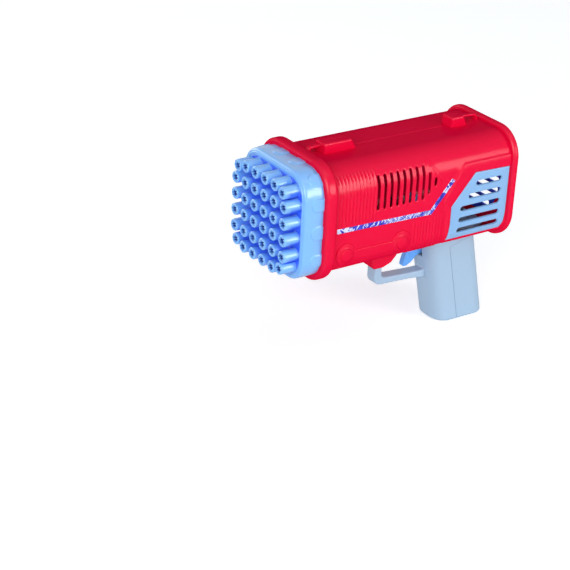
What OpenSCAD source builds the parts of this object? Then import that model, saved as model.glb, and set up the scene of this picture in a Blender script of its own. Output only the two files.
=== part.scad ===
// Multi-hole bubble blower: square nozzle head, two-part casing, fan, trigger and battery grip.
// Frame: +X out of the nozzle, +Y to the blower's left, +Z up, grip bottom at Z 0.
// Lengths named d are distances behind the tube tips; heights named h are above the barrel axis.

/* [Nozzle] */
// Tubes along one side of the square
tube_n = 6; // [4:1:8]
// Centre distance of neighbouring tubes
tube_pitch = 13.5; // [11:0.5:16]
// Outer radius of a tube
tube_r = 4.9; // [3.5:0.1:6]
// Length of a tube in front of the face
tube_len = 13.5; // [8:0.5:20]
// Clear radius inside the splines of a tube
bore_r = 2.35; // [1.5:0.05:3.5]
// Radius at the bottom of the spline grooves
spline_r = 3.6; // [2.5:0.05:4.4]
// Diagonal tuck of the four corner tubes, along each side
corner_in = 2.8; // [0:0.1:5]
// Half-width of the head
head_hw = 43.2; // [36:0.1:52]
// Half-height of the head
head_hh = 44.6; // [36:0.1:52]
// Corner radius of the head
head_r = 20.5; // [10:0.5:28]
// Depth from the tube tips to the collar
head_d = 30.5; // [24:0.5:40]

/* [Casing] */
// Half-width of the casing
case_hw = 43.2; // [36:0.1:52]
// Top of the casing above the axis
case_top = 43.4; // [36:0.1:52]
// Bottom of the casing below the axis
case_bot = 43; // [36:0.1:52]
// Radius of the upper edges
case_rt = 22; // [10:0.5:28]
// Radius of the lower edges
case_rb = 15; // [8:0.5:24]
// Wall thickness of the casing
wall = 2.4; // [1.6:0.1:3.5]
// Collar length along the barrel
collar_w = 10.5; // [6:0.5:14]
// How far the collar stands out of the head
collar_up = 4.9; // [2:0.1:8]
// Back end of the casing halves
case_end = 212.6; // [180:0.1:240]
// Back end of the rear cap
cap_end = 218; // [185:0.5:245]
// Radius of the air grille in the rear cap
grille_r = 34.6; // [24:0.1:36]
// Height of the grille's centre over the barrel axis
grille_h = -1.2; // [-2:0.1:1]
// Centre distance of the grille's slots
grille_pitch = 7.8; // [6:0.1:9]
// Height of a grille slot
grille_slot = 5; // [3:0.1:5.4]
// Depth of the far panel's slot floor under the casing side
panel_floor = 0.6; // [0.2:0.1:1]
// Length of the front strap loop
front_loop = 13.4; // [9:0.1:14]
// Length of the rear strap loop
rear_loop = 18.6; // [9:0.1:19]
// Width of the strap loops
loop_w = 4; // [3:0.1:8]

/* [Grip] */
// Backward lean of the grip
rake = 12; // [0:0.5:20]
// Depth of the grip, front to back
grip_depth = 43; // [36:0.5:50]
// Reach of the grip ahead of its middle, under the casing
grip_front = 28.4; // [25:0.1:29]
// Half-width of the grip
grip_hw = 17.5; // [15:0.5:22]
// Height of the barrel axis above the grip's bottom
axis_z = 128; // [110:1:150]
// Seam between grip frame and battery door, ahead of the grip's middle
seam_u = 9.5; // [5:0.5:13]

/* [Trigger] */
// Half-thickness of the trigger
trigger_hw = 4; // [3:0.25:5]
// Half-width of the trigger blade
blade_hw = 2.8; // [2.4:0.1:3]
// Pivot pin radius
pin_r = 1.5; // [1:0.1:2]

/* [Fan] */
// Inner radius of the fan ring
ring_r = 34.5; // [28:0.5:36]
// Number of blades
blades = 7; // [5:1:11]
// Radius of the motor can
motor_r = 12; // [10:0.5:14]

/* [Hidden] */
$fn = 64;
e = 0.05;
grip_d0 = 191;
grip_h0 = -71;
tip_x = (grip_d0 + (axis_z + grip_h0) * tan(rake) + grip_depth / 2 / cos(rake)) / 2;
door_top = 16;
pivot_d = 150;
pivot_h = -34;
cell_r = 7.15;
cell_len = 50.5;
spring_wire = 0.38;

// Sub-part to draw

// Points given as depth behind the tips and height above the axis
function at(p) = [tip_x - p[0], axis_z + p[1]];
function line(ps) = [for (p = ps) at(p)];

// A flat shape in Y and Z, carried along the barrel from depth d0 to d1
module along(d0, d1) {
    translate([tip_x - d1, 0, axis_z]) rotate([90, 0, 90]) linear_extrude(d1 - d0) children();
}

// A shape in depth and height, carried across from y0 to y1
module across(ps, y0, y1) {
    translate([0, y1, 0]) rotate([90, 0, 0]) linear_extrude(y1 - y0) polygon(line(ps));
}

// A round bar across the blower
module rod(d, h, r, y0, y1, n = 48) {
    translate([tip_x - d, y0, axis_z + h]) rotate([-90, 0, 0]) cylinder(h = y1 - y0, r = r, $fn = n);
}

// A round bar along the barrel
module bar(d0, d1, y, h, r, n = 48) {
    translate([tip_x - d1, y, axis_z + h]) rotate([0, 90, 0]) cylinder(h = d1 - d0, r = r, $fn = n);
}

// Section with round corners: half-width, top, bottom, upper radius, lower radius
module section(hw, zt, zb, rt, rb) {
    union() {
        translate([-hw, -zb + rb]) square([2 * hw, zt - rt + zb - rb]);
        translate([rt - hw, 0]) square([2 * (hw - rt), zt]);
        translate([rb - hw, -zb]) square([2 * (hw - rb), zb]);
        for (s = [-1, 1]) {
            translate([s * (hw - rt), zt - rt]) circle(r = rt);
            translate([s * (hw - rb), rb - zb]) circle(r = rb);
        }
    }
}

// Casing section grown by g
module case_2d(g = 0) {
    section(case_hw + g, case_top + g, case_bot + g, case_rt + g, case_rb + g);
}

// Head section grown by g
module head_2d(g = 0) {
    section(head_hw + g, head_hh + g, head_hh + g, head_r + g, head_r + g);
}

// Left half of a flat shape in Y and Z
module left_2d() {
    intersection() {
        children();
        translate([e, -90]) square([90, 180]);
    }
}

// Carries a profile (outward, along the barrel) round a section with one corner radius
module around(hw, zt, zb, r) {
    for (q = [[hw - r, zt - r, 0], [r - hw, zt - r, 90], [r - hw, r - zb, 180], [hw - r, r - zb, 270]])
        translate([q[0], q[1], 0]) rotate([0, 0, q[2]])
            rotate_extrude(angle = 90, $fn = 96) translate([r, 0]) children();
    translate([r - hw, zt, 0]) rotate([90, 0, 90]) linear_extrude(2 * (hw - r)) children();
    translate([hw - r, -zb, 0]) rotate([90, 0, -90]) linear_extrude(2 * (hw - r)) children();
    translate([hw, zt - r, 0]) rotate([90, 0, 0]) linear_extrude(zt + zb - 2 * r) children();
    translate([-hw, r - zb, 0]) rotate([90, 0, 180]) linear_extrude(zt + zb - 2 * r) children();
}

// Places a profile swept by around() with its zero at depth d, growing forwards
module ring_at(d) {
    translate([tip_x - d, 0, axis_z]) rotate([90, 0, 90]) children();
}

// Rounded bead, w long and t high, with edge radius r and a foot under it
module bead_2d(w, t, r, foot) {
    union() {
        translate([-foot, 0]) square([foot + t - r, w]);
        translate([0, r]) square([t, w - 2 * r]);
        translate([t - r, r]) circle(r = r);
        translate([t - r, w - r]) circle(r = r);
    }
}

// Tube centres, with the four corner tubes tucked in
function tube_at(i) = let (m = (tube_n - 1) / 2, p = (i - m) * tube_pitch) p;
function tucked(i, j) = (i == 0 || i == tube_n - 1) && (j == 0 || j == tube_n - 1);
function tube_y(i, j) = tube_at(i) - (tucked(i, j) ? sign(tube_at(i)) * corner_in : 0);
function tube_h(i, j) = tube_at(j) - (tucked(i, j) ? sign(tube_at(j)) * corner_in : 0);

module tubes_2d() {
    for (i = [0:tube_n - 1], j = [0:tube_n - 1]) translate([tube_y(i, j), tube_h(i, j)]) children();
}

// D-shaped pad on the head: flat end at the collar, round end forwards
module pad(turn, y, h) {
    translate([tip_x, y, axis_z + h]) rotate([turn, 0, 0]) translate([0, 0, -1.4]) linear_extrude(2.2)
        union() {
            translate([-25.1, 0]) circle(r = 5.3);
            translate([0.06 - head_d, -5.3]) square([head_d - 0.06 - 25.1, 10.6]);
        }
}

module nozzle_head() {
    color([0.5, 0.73, 0.93]) {
        difference() {
            union() {
                ring_at(33) around(head_hw, head_hh, head_hh, head_r) union() {
                    translate([-2.2, 0]) square([2.2, 33 - tube_len - 2.4]);
                    translate([-2.4, 0]) square([0.4, 33 - tube_len]);
                    translate([-2.4, 33 - tube_len - 2.4]) circle(r = 2.4);
                }
                along(tube_len, tube_len + 2.2) head_2d(-2.3);
                along(tube_len - 0.6, tube_len + 1) difference() {
                    head_2d(-2.4);
                    head_2d(-4);
                }
                along(31, 33) difference() {
                    head_2d(-1);
                    case_2d(-wall - 2.1);
                }
                along(32, 46) difference() {
                    case_2d(-wall - 0.3);
                    case_2d(-wall - 2.1);
                }
                for (i = [0:tube_n - 1], j = [0:tube_n - 1])
                    translate([tip_x, tube_y(i, j), axis_z + tube_h(i, j)]) rotate([0, -90, 0])
                        rotate_extrude($fn = 48) union() {
                            translate([0, 0.9]) square([tube_r, tube_len]);
                            square([tube_r - 0.9, 3]);
                            translate([tube_r - 0.9, 0.9]) circle(r = 0.9, $fn = 32);
                        }
                for (h = [20.5, -2.5, -25.5]) {
                    pad(-90, head_hw, h);
                    pad(90, -head_hw, h);
                }
                for (y = [-11, 11]) {
                    pad(0, y, head_hh);
                    pad(180, y, -head_hh);
                }
                for (s = [-1, 1]) pad(-45 * s, s * (head_hw - head_r * 0.293), head_hh - head_r * 0.293);
            }
            along(-1, tube_len + 4) tubes_2d() union() {
                circle(r = bore_r, $fn = 32);
                for (k = [0:3]) rotate(45 * k) square([2 * spline_r, 0.95], center = true);
            }
        }
    }
}

module front_collar() {
    color([0.86, 0.05, 0.1]) difference() {
        ring_at(head_d + collar_w) around(head_hw, head_hh, head_hh, head_r)
            bead_2d(collar_w, collar_up, 3, 6);
        along(head_d - 1, 37) head_2d(0.35);
        along(33.1, head_d + collar_w + 1) case_2d(0.3);
    }
}

module rear_cap() {
    color([0.86, 0.05, 0.1]) union() {
        difference() {
            ring_at(cap_end) around(43.8, 43.6, 46, 21) bead_2d(6, 3, 2.4, 6);
            along(cap_end - 7, case_end + 0.2) case_2d(0.3);
        }
        difference() {
            along(case_end + 0.2, cap_end - 1.8) case_2d(-2);
            bar(case_end, cap_end, 0, grille_h, grille_r - 1.7, 96);
            bar(cap_end - 4, cap_end, 0, grille_h, grille_r + 0.1, 96);
        }
        along(209.4, case_end + 1) difference() {
            case_2d(-wall - 0.3);
            case_2d(-wall - 2.1);
        }
    }
}

// Round air grille set in the rear cap, with level slots
module rear_grille() {
    r = grille_slot / 2;
    color([0.5, 0.73, 0.93]) difference() {
        bar(cap_end - 3.95, cap_end - 2.15, 0, grille_h, grille_r, 96);
        for (k = [-3:3]) {
            h = grille_h + k * grille_pitch;
            half = sqrt(pow(grille_r - 2.2, 2) - pow(k * grille_pitch, 2)) - 2 * r;
            for (s = [-1, 1]) bar(cap_end - 5, cap_end, s * half, h, r);
            along(cap_end - 5, cap_end) translate([-half, h - r]) square([2 * half, 2 * r]);
        }
    }
}

// Outline of the side panel in depth and height, shrunk by s
function panel_line(s) = [[176 + s * 0.4, 19 - s], [211.4 - s, 18 - s], [211.4 - s, -23], [210 - s, -31],
    [207.4 - s, -36 + s], [152 + s, -36 + s], [154 + s, -22], [154 + s, -6.7 - s * 0.4]];
slots = [[178, 9], [171.5, -1], [164, -10.6], [163, -20.1], [162, -29]];

// Side panel of the left side; its five slots are cut from outside down to y from the middle
module side_panel(y) {
    difference() {
        intersection() {
            along(148, 213) difference() {
                case_2d(0.7);
                case_2d(-1.2);
            }
            across(panel_line(0.15), 30, 60);
        }
        for (s = slots) {
            across([[s[0] + 2, s[1] - 2.1], [202, s[1] - 2.1], [202, s[1] + 2.1],
                [s[0] + 2, s[1] + 2.1]], y, 60);
            rod(s[0] + 2, s[1], 2.1, y, 60);
            rod(202, s[1], 2.1, y, 60);
        }
    }
}

module left_panel() {
    color([0.62, 0.8, 0.93]) side_panel(30);
}

module right_panel() {
    color([0.62, 0.8, 0.93]) mirror([0, 1, 0]) side_panel(case_hw - panel_floor);
}

// Path of the printed stripe: level along the side, then up to the panel
function stripe_line(s) = [[44 + s, -3 - s], [133.3, -5 - s], [152.6 + s, 18 - s], [156.2 - s, 15.4 + s],
    [134.7, -9.2 + s], [44 + s, -7.2 + s]];

module side_stripe() {
    across(stripe_line(0.12), case_hw - 0.38, case_hw - 0.02);
}

module left_stripe() {
    color([0.2, 0.25, 0.65]) side_stripe();
}

module right_stripe() {
    color([0.2, 0.25, 0.65]) mirror([0, 1, 0]) side_stripe();
}

// Cutter for an upright air slot with round ends
module air_slot(d, h0, h1) {
    across([[d - 1.35, h0], [d + 1.35, h0], [d + 1.35, h1], [d - 1.35, h1]], 20, 60);
    for (h = [h0, h1]) rod(d, h, 1.4, 20, 60);
}

// Strap lug: a block with a flat loop at one end; dir is 1 with the loop in front, -1 behind
module strap_lug(d0, d1, base, dir, reach) {
    a = dir > 0 ? d0 : d1;
    difference() {
        union() {
            across([[d0 - 0.5, 42], [d0, 51.4], [d1, 51.4], [d1 + base, 42]], e, 6.6);
            across([[a - dir * reach, 42], [a - dir * (reach - 0.2), 46], [a - dir * (reach - 2.9), 49.4],
                [a + dir, 50.2], [a + dir, 42]], e, loop_w / 2);
        }
        across([[a - dir * (reach - 2.4), 43.45], [a - dir * (reach - 2.4), 45.2],
            [a - dir * (reach - 4.3), 47.55], [a - dir * 0.9, 48.2], [a - dir * 0.9, 43.45]], -20, 20);
    }
}

// Places of the casing screws, depth and height
screws = [[80, 37], [142, 35.5], [198, 35.5], [80, -34.5], [123, -55]];

// Left casing half without its screw holes; the window behind the panel can be left closed
module half_shell(window) {
    difference() {
        union() {
            along(33.2, case_end) left_2d() difference() {
                case_2d();
                case_2d(-wall);
            }
            // raised frame round the side panel
            intersection() {
                along(144, 212) left_2d() difference() {
                    case_2d(0.8);
                    case_2d(-1);
                }
                across([[164.5, 28], [213, 28], [213, -39], [150.5, -39], [150.5, -10], [146.5, 0],
                    [161, 21.5]], 20, 60);
            }
            // fine ribs behind the collar
            for (k = [0:11]) along(43.5 + 3.2 * k, 44.7 + 3.2 * k) intersection() {
                difference() {
                    case_2d(0.5);
                    case_2d(-0.6);
                }
                polygon([[20, -1.5], [60, -1.5], [60, 46], [38.5, 38.5]]);
            }
            // ribs round the lower edge ahead of the panel
            for (k = [0:9]) along(117.5 + 3 * k, 118.7 + 3 * k) intersection() {
                difference() {
                    case_2d(0.5);
                    case_2d(-0.6);
                }
                polygon([[20, -12.5], [60, -12.5], [60, -60], [30, -48]]);
            }
            // raised bar with round ends low on the side
            intersection() {
                union() {
                    for (q = [[53.4, -26], [106.6, -26.5]]) {
                        rod(q[0], q[1], 9.3, 30, case_hw + 0.9);
                        rod(q[0], q[1], 5.2, 30, case_hw + 2);
                    }
                    across([[54, -23.5], [106, -24], [106, -32], [54, -31.5]], 30, case_hw + 0.9);
                }
                along(42, 118) difference() {
                    case_2d(4);
                    case_2d(-1);
                }
            }
            strap_lug(54.5, 80, 5.4, 1, front_loop);
            strap_lug(178.4, 190.4, 4, -1, rear_loop);
            // bracket for the trigger guard
            across([[105, -41], [107, -64], [109, -66.5], [118, -66.5], [126, -63.5], [131, -58], [134, -50],
                [135, -41]], e, 9);
            // cheek that holds the trigger pin and the switch bracket
            across([[130.5, -42], [130.5, -26], [155.5, -26], [155.5, -42]], 5.2, 7.8);
            intersection() {
                for (s = screws) rod(s[0], s[1], 3.4, e, 44);
                union() {
                    along(60, 205) case_2d(-1);
                    across([[105, -41], [107, -64], [109, -66.5], [118, -66.5], [126, -63.5],
                        [131, -58]], 0, 9);
                }
            }
        }
        // upright air slots, the last two shorter
        for (k = [0:7]) air_slot(82.05 + 6.13 * k, 6.3, 32);
        air_slot(130.8, 10.4, 25.7);
        air_slot(136.9, 16.1, 20.3);
        // seat and window of the side panel
        intersection() {
            along(148, 213) difference() {
                case_2d(3);
                case_2d(-1.3);
            }
            across(panel_line(0), 20, 60);
        }
        if (window) across(panel_line(3), 20, 60);
        // bed of the stripe
        across(stripe_line(0), case_hw - 0.4, 60);
        // slots for the trigger and the neck of the grip
        across([[141, -50], [141, -38], [160.5, -38], [160.5, -50]], -5, 5);
        grip_at() translate([0, 0, 20]) linear_extrude(30) grip_2d(-2.3);
        // pocket for the front leg of the guard
        across([[111.8, -70], [111.8, -57.8], [119.7, -57.8], [119.7, -70]], -6, 5.7);
        rod(pivot_d, pivot_h, pin_r + 0.02, 4, 7.2);
        rod(135, -28.6, 1.72, 4, 7.2);
    }
}

module left_shell() {
    color([0.88, 0.06, 0.12]) difference() {
        half_shell(true);
        for (s = screws) rod(s[0], s[1], 1.25, -1, 7.6);
    }
}

module right_shell() {
    color([0.88, 0.06, 0.12]) mirror([0, 1, 0]) difference() {
        half_shell(false);
        for (s = screws) {
            rod(s[0], s[1], 1.6, -1, 5);
            rod(s[0], s[1], 2.9, 4, 60);
        }
    }
}

// Casing screws, put in from the right
module shell_screws() {
    color([0.75, 0.76, 0.78]) for (s = screws) union() {
        rod(s[0], s[1], 1.2, -4.5, 7);
        difference() {
            rod(s[0], s[1], 2.5, -6, -4.1);
            for (q = [[1.6, 0.3], [0.3, 1.6]])
                across([[s[0] - q[0], s[1] - q[1]], [s[0] + q[0], s[1] - q[1]], [s[0] + q[0], s[1] + q[1]],
                    [s[0] - q[0], s[1] + q[1]]], -7, -5.2);
        }
    }
}

// Places children in the leaning frame of the grip: u forwards, Y across, s up the grip
module grip_at() {
    translate([tip_x - grip_d0, 0, axis_z + grip_h0]) rotate([0, rake, 0]) children();
}

// Grip section grown by g, with its front at reach: round front, softer back corners
module grip_2d(g = 0, reach = grip_depth / 2, round = 15) {
    hd = grip_depth / 2 + g;
    hf = reach + g;
    hw = grip_hw + g;
    rf = round + g;
    rb = 12 + g;
    union() {
        translate([rb - hd, -hw]) square([hd + hf - rb - rf, 2 * hw]);
        translate([-hd, rb - hw]) square([hd, 2 * (hw - rb)]);
        translate([0, rf - hw]) square([hf, 2 * (hw - rf)]);
        for (s = [-1, 1]) {
            translate([rb - hd, s * (hw - rb)]) circle(r = rb);
            translate([hf - rf, s * (hw - rf)]) circle(r = rf);
        }
    }
}

// Everything between two heights above the axis
module between(h0, h1) {
    translate([-200, -100, axis_z + h0]) cube([400, 200, h1 - h0]);
}

// Hollow grip, closed below, from its bottom up to the casing
module grip_hull() {
    intersection() {
        grip_at() difference() {
            translate([0, 0, -80]) linear_extrude(120) grip_2d(0, grip_front, 13);
            translate([0, 0, -49.9]) linear_extrude(100) grip_2d(-2.2, grip_front, 13);
        }
        between(-axis_z, -case_bot - 0.15);
    }
}

module grip_frame() {
    color([0.66, 0.7, 0.76]) difference() {
        union() {
            intersection() {
                grip_hull();
                grip_at() translate([seam_u, -50, -90]) cube([40, 100, 150]);
            }
            // shoulder over the door, neck through the casing floor, flange that the casing holds
            intersection() {
                grip_at() difference() {
                    translate([0, 0, door_top + 0.2]) linear_extrude(50) grip_2d();
                    translate([0, 0, 9]) linear_extrude(60) grip_2d(-4.8);
                }
                between(-80, -case_bot - 0.15);
            }
            intersection() {
                grip_at() difference() {
                    translate([0, 0, 15]) linear_extrude(60) grip_2d(-2.6);
                    translate([0, 0, 10]) linear_extrude(70) grip_2d(-4.8);
                }
                between(-case_bot - 2, -33);
            }
            intersection() {
                translate([tip_x, 0, 0]) linear_extrude(2 * axis_z) {
                    translate([-194.6, -28]) square([31.6, 56]);
                    translate([-208.6, -14]) square([45.6, 28]);
                    for (y = [-14, 14]) translate([-194.6, y]) circle(14, $fn = 64);
                }
                between(-case_bot + wall + 0.2, -37.6);
            }
            // trigger guard
            difference() {
                across([[112, -58], [112, -79.5], [113, -81.6], [115, -83], [118, -83.6], [150, -85.2],
                    [160, -86], [165, -87], [172, -89], [172, -70], [164.6, -74.4], [163.2, -77.4],
                    [161.4, -79.1], [158.6, -79.8], [150, -79.3], [123, -77.6], [120.4, -76.6],
                    [119.5, -74.5], [119.5, -58]], -5.5, 5.5);
                grip_at() translate([0, 0, -60]) linear_extrude(100) grip_2d(-1, grip_front, 13);
            }
        }
        intersection() {
            grip_at() translate([0, 0, 15]) linear_extrude(70) grip_2d(-4.8);
            between(-case_bot - 3, -30);
        }
        // slot that the trigger goes into when it is pulled
        across([[150, -case_bot], [150, -69.5], [164, -69.5], [172, -64.5], [172, -case_bot]],
            -blade_hw - 1.2, blade_hw + 1.2);
    }
}

module battery_door() {
    color([0.68, 0.72, 0.78]) difference() {
        union() {
            intersection() {
                grip_hull();
                grip_at() translate([seam_u - 50.1, -50, -90]) cube([50, 100, door_top + 90]);
            }
            grip_at() translate([-20.5, 0, -44]) rotate([0, 90, 0]) cylinder(h = 3.4, r = 4.2);
        }
        grip_at() translate([-30, 0, -44]) rotate([0, 90, 0]) cylinder(h = 30, r = 1.7);
        grip_at() translate([-30, 0, -44]) rotate([0, 90, 0]) cylinder(h = 10.4, r = 3.1);
    }
}

module door_screw() {
    color([0.75, 0.76, 0.78]) grip_at() translate([0, 0, -44]) rotate([0, 90, 0]) difference() {
        union() {
            translate([0, 0, -19.7]) cylinder(h = 7.2, r = 1.45);
            translate([0, 0, -20.9]) cylinder(h = 1.27, r = 2.8);
        }
        for (a = [0, 90]) rotate([0, 0, a]) translate([-1.7, -0.35, -22]) cube([3.4, 0.7, 1.8]);
    }
}

// Tray that holds the four cells in the grip
module battery_tray() {
    color([0.2, 0.2, 0.22]) grip_at() difference() {
        union() {
            for (s = [-49.8, 10.4]) translate([0, 0, s]) linear_extrude(1.6)
                polygon([[-14.8, -12], [-12, -14], [8, -14], [15, -8.4], [15, 8.4], [8, 14], [-12, 14],
                    [-14.8, 12]]);
            translate([14.4, -8.4, -49.8]) cube([1.8, 16.8, 61.8]);
            translate([15, -3, -40]) cube([grip_front - 17.3, 6, 40]);
            translate([-17, -3.4, -49.4]) cube([4.5, 6.8, 8]);
        }
        translate([-20, 0, -44]) rotate([0, 90, 0]) cylinder(h = 12, r = 1.5);
    }
}

// Cell centres in the grip frame and whether the plus end is up
cells = [[6.7, 7.35, 0], [6.7, -7.35, 0], [-7.8, 7.35, 1], [-7.8, -7.35, 1]];

module battery_cells() {
    color([0.25, 0.3, 0.34]) grip_at() for (c = cells) translate([c[0], c[1], c[2] ? -41 : -47.2])
        mirror([0, 0, c[2] ? 0 : 1]) translate([0, 0, c[2] ? 0 : -cell_len]) union() {
            cylinder(h = cell_len - 1.6, r = cell_r);
            cylinder(h = cell_len, r = 2.7);
        }
}

module battery_contacts() {
    color([0.8, 0.8, 0.78]) grip_at() {
        for (c = cells) translate([c[0] - 4.5, c[1] - 4.5, c[2] ? -48.1 : 9.9]) cube([9, 9, 0.4]);
        for (c = cells) translate([c[0] - 3.5, c[1] - 3.5, c[2] ? 9.9 : -48.1]) cube([7, 7, 0.4]);
    }
}

// Coil spring up Z: n turns from radius r0 to r1 over height h, as one swept tube of round wire
module coil(n, h, r0, r1, w) {
    m = 8 * n;
    q = 6;
    pts = [for (i = [0:m], k = [0:q - 1])
        let (t = i / m, a = 45 * i, r = r0 + (r1 - r0) * t, b = 360 * k / q)
        [(r + w * cos(b)) * cos(a), (r + w * cos(b)) * sin(a), w + (h - 2 * w) * t + w * sin(b)]];
    tube_skin(pts, m, q);
}

// Closed tube through m + 1 rings of q points
module tube_skin(pts, m, q) {
    sides = [for (i = [0:m - 1], k = [0:q - 1], j = [0, 1]) let (k2 = (k + 1) % q, a = i * q, b = a + q)
        j ? [a + k, b + k2, b + k] : [a + k, a + k2, b + k2]];
    ends = [for (k = [1:q - 2], j = [0, 1]) j ? [m * q, m * q + k, m * q + k + 1] : [0, k + 1, k]];
    polyhedron(points = pts, faces = concat(sides, ends));
}

module battery_springs() {
    color([0.75, 0.75, 0.72]) grip_at() for (c = cells)
        translate([c[0], c[1], c[2] ? -47.65 : 3.35]) coil(4, 6.5, c[2] ? 4 : 2.6, c[2] ? 2.6 : 4, 0.4);
}

module trigger() {
    color([0.45, 0.68, 0.92]) difference() {
        union() {
            across([[146.4, -36], [148, -48], [147.6, -56], [145.4, -62], [143.4, -67], [142.4, -71],
                [142.2, -73], [143.2, -74.2], [145, -74.2], [147.6, -73.4], [152, -71], [155, -67.6],
                [157.6, -66], [161, -65], [163.2, -64.6], [163.4, -63.6], [162.2, -62.6], [160, -60],
                [158.8, -56], [158.4, -50], [156.6, -44], [154.6, -36]], -blade_hw, blade_hw);
            rod(pivot_d, pivot_h, 5.4, -trigger_hw, trigger_hw);
            across([[147.4, -34], [147.4, -11], [152.6, -11], [152.6, -34]], -trigger_hw, trigger_hw);
            rod(pivot_d, pivot_h + 12, 3, -trigger_hw, trigger_hw);
        }
        rod(pivot_d, pivot_h, pin_r + 0.06, -10, 10);
    }
}

module trigger_pin() {
    color([0.75, 0.76, 0.78]) rod(pivot_d, pivot_h, pin_r, -7.1, 7.1);
}

module trigger_spring() {
    color([0.75, 0.76, 0.78]) translate([tip_x - 147.3, 0, axis_z + pivot_h + 19.8]) rotate([0, 90, 0])
        coil(7, 17.2, 2.2, 2.2, spring_wire);
}

module switch_bracket() {
    color([0.2, 0.2, 0.22]) union() {
        across([[128, -31], [128, -10], [130, -10], [130, -31]], -5, 5);
        across([[129, -31], [129, -26.7], [142, -26.7], [142, -31]], -5, 5);
        rod(135, -28.6, 1.68, -7.1, 7.1);
    }
}

module switch_body() {
    color([0.12, 0.12, 0.13]) difference() {
        across([[130.1, -26.6], [130.1, -17.6], [142, -17.6], [142, -26.6]], -3.5, 3.5);
        bar(133, 143, 0, -22, 1.85);
    }
}

module switch_plunger() {
    color([0.85, 0.85, 0.82]) union() {
        bar(137.5, 146.9, 0, -22, 1.8);
    }
}

module fan_bulkhead() {
    color([0.82, 0.83, 0.84]) union() {
        along(66, 68.4) difference() {
            case_2d(-wall - 0.3);
            circle(r = ring_r, $fn = 96);
            for (a = [90, 210, 330]) rotate(a + 90) translate([37.8, 0]) circle(r = 1.2, $fn = 24);
        }
        along(49, 67) difference() {
            circle(r = ring_r + 1.8, $fn = 96);
            circle(r = ring_r, $fn = 96);
        }
    }
}

module fan_rotor() {
    color([0.92, 0.92, 0.9]) difference() {
        union() {
            bar(51, 65, 0, 0, 9);
            for (k = [0:blades - 1]) translate([tip_x - 58, 0, axis_z]) rotate([360 / blades * k, 0, 0])
                translate([0, 0, 7]) rotate([0, 0, 38]) translate([-8.2, -0.8, 0])
                    cube([16.4, 1.6, ring_r - 8.6]);
        }
        bar(53, 70, 0, 0, 1.02);
    }
}

module motor_shaft() {
    color([0.8, 0.81, 0.83]) bar(53.2, 69, 0, 0, 1);
}

module motor_can() {
    color([0.72, 0.73, 0.75]) difference() {
        union() {
            bar(69.4, 94, 0, 0, motor_r);
            bar(67.4, 70, 0, 0, 3.4);
        }
        bar(60, 72, 0, 0, 1.05);
    }
}

module motor_end_bell() {
    color([0.93, 0.93, 0.9]) union() {
        bar(94.05, 97.5, 0, 0, motor_r - 0.4);
        for (s = [-1, 1]) translate([tip_x - 101, s * 6 - 1.2, axis_z - 0.3]) cube([4, 2.4, 0.6]);
    }
}

// Clamp ring round the motor, with three arms to the bulkhead
module motor_mount() {
    color([0.82, 0.83, 0.84]) difference() {
        union() {
            bar(72, 84, 0, 0, motor_r + 2.4);
            for (a = [90, 210, 330]) translate([tip_x - 74, 0, axis_z]) rotate([a, 0, 0])
                translate([0, -2.8, 12.5]) cube([5.55, 5.6, 27.4]);
        }
        bar(60, 90, 0, 0, motor_r + 0.1);
        for (a = [90, 210, 330]) translate([tip_x - 80, 0, axis_z]) rotate([a, 0, 0])
            translate([0, 0, 37.8]) rotate([0, 90, 0]) cylinder(h = 30, r = 1.2, $fn = 24);
    }
}

module mount_screws() {
    color([0.75, 0.76, 0.78]) for (a = [90, 210, 330]) translate([tip_x - 74, 0, axis_z]) rotate([a, 0, 0])
        translate([0, 0, 37.8]) rotate([0, 90, 0]) union() {
            cylinder(h = 7.2, r = 1.15, $fn = 24);
            translate([0, 0, -1.6]) cylinder(h = 1.6, r = 2.2, $fn = 32);
        }
}

// Insulated lead along a smooth curve through points given as depth, y and height
module lead(ps, r = 0.8) {
    n = len(ps) - 1;
    q = 8;
    m = 6 * n;
    function spot(i) = [tip_x - ps[i][0], ps[i][1], axis_z + ps[i][2]];
    function slope(i) = (spot(min(i + 1, n)) - spot(max(i - 1, 0))) / 2;
    function along_curve(t) = let (i = min(floor(t), n - 1), f = t - i)
        spot(i) * (1 + 2 * f) * pow(1 - f, 2) + slope(i) * f * pow(1 - f, 2)
        + spot(i + 1) * f * f * (3 - 2 * f) + slope(i + 1) * f * f * (f - 1);
    pts = [for (j = [0:m])
        let (c = along_curve(j / 6),
            d = along_curve(min(j / 6 + 0.02, n)) - along_curve(max(j / 6 - 0.02, 0)),
            w = d / norm(d), u0 = cross([0.3, 1, 0.2], w), u = u0 / norm(u0), v = cross(w, u))
        for (k = [0:q - 1]) c + r * (cos(360 * k / q) * u + sin(360 * k / q) * v)];
    tube_skin(pts, m, q);
}

module switch_motor_lead() {
    color([0.75, 0.1, 0.1]) lead([[101.7, 6, 0], [106, 8, -6], [110, 18, -30], [114, 18, -38],
        [124, 10, -38], [127, 0, -36], [127, 0, -22]]);
}

module battery_switch_lead() {
    color([0.75, 0.1, 0.1]) lead([[127, -2, -16], [124, -10, -30], [126, -12, -38], [148, -12, -38.4],
        [161, -12, -35.5], [171, -11, -30.4], [177.5, -9.2, -32.8], [181, -7, -46], [182, -7, -56]]);
}

module motor_battery_lead() {
    color([0.1, 0.1, 0.1]) lead([[101.7, -6, 0], [106, -10, -8], [112, -20, -28], [120, -20, -38],
        [146, -16, -38.4], [162, -15, -35], [175, -14, -30.8], [183, -11, -34], [187, -8, -46],
        [188, -7, -56]]);
}

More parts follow.
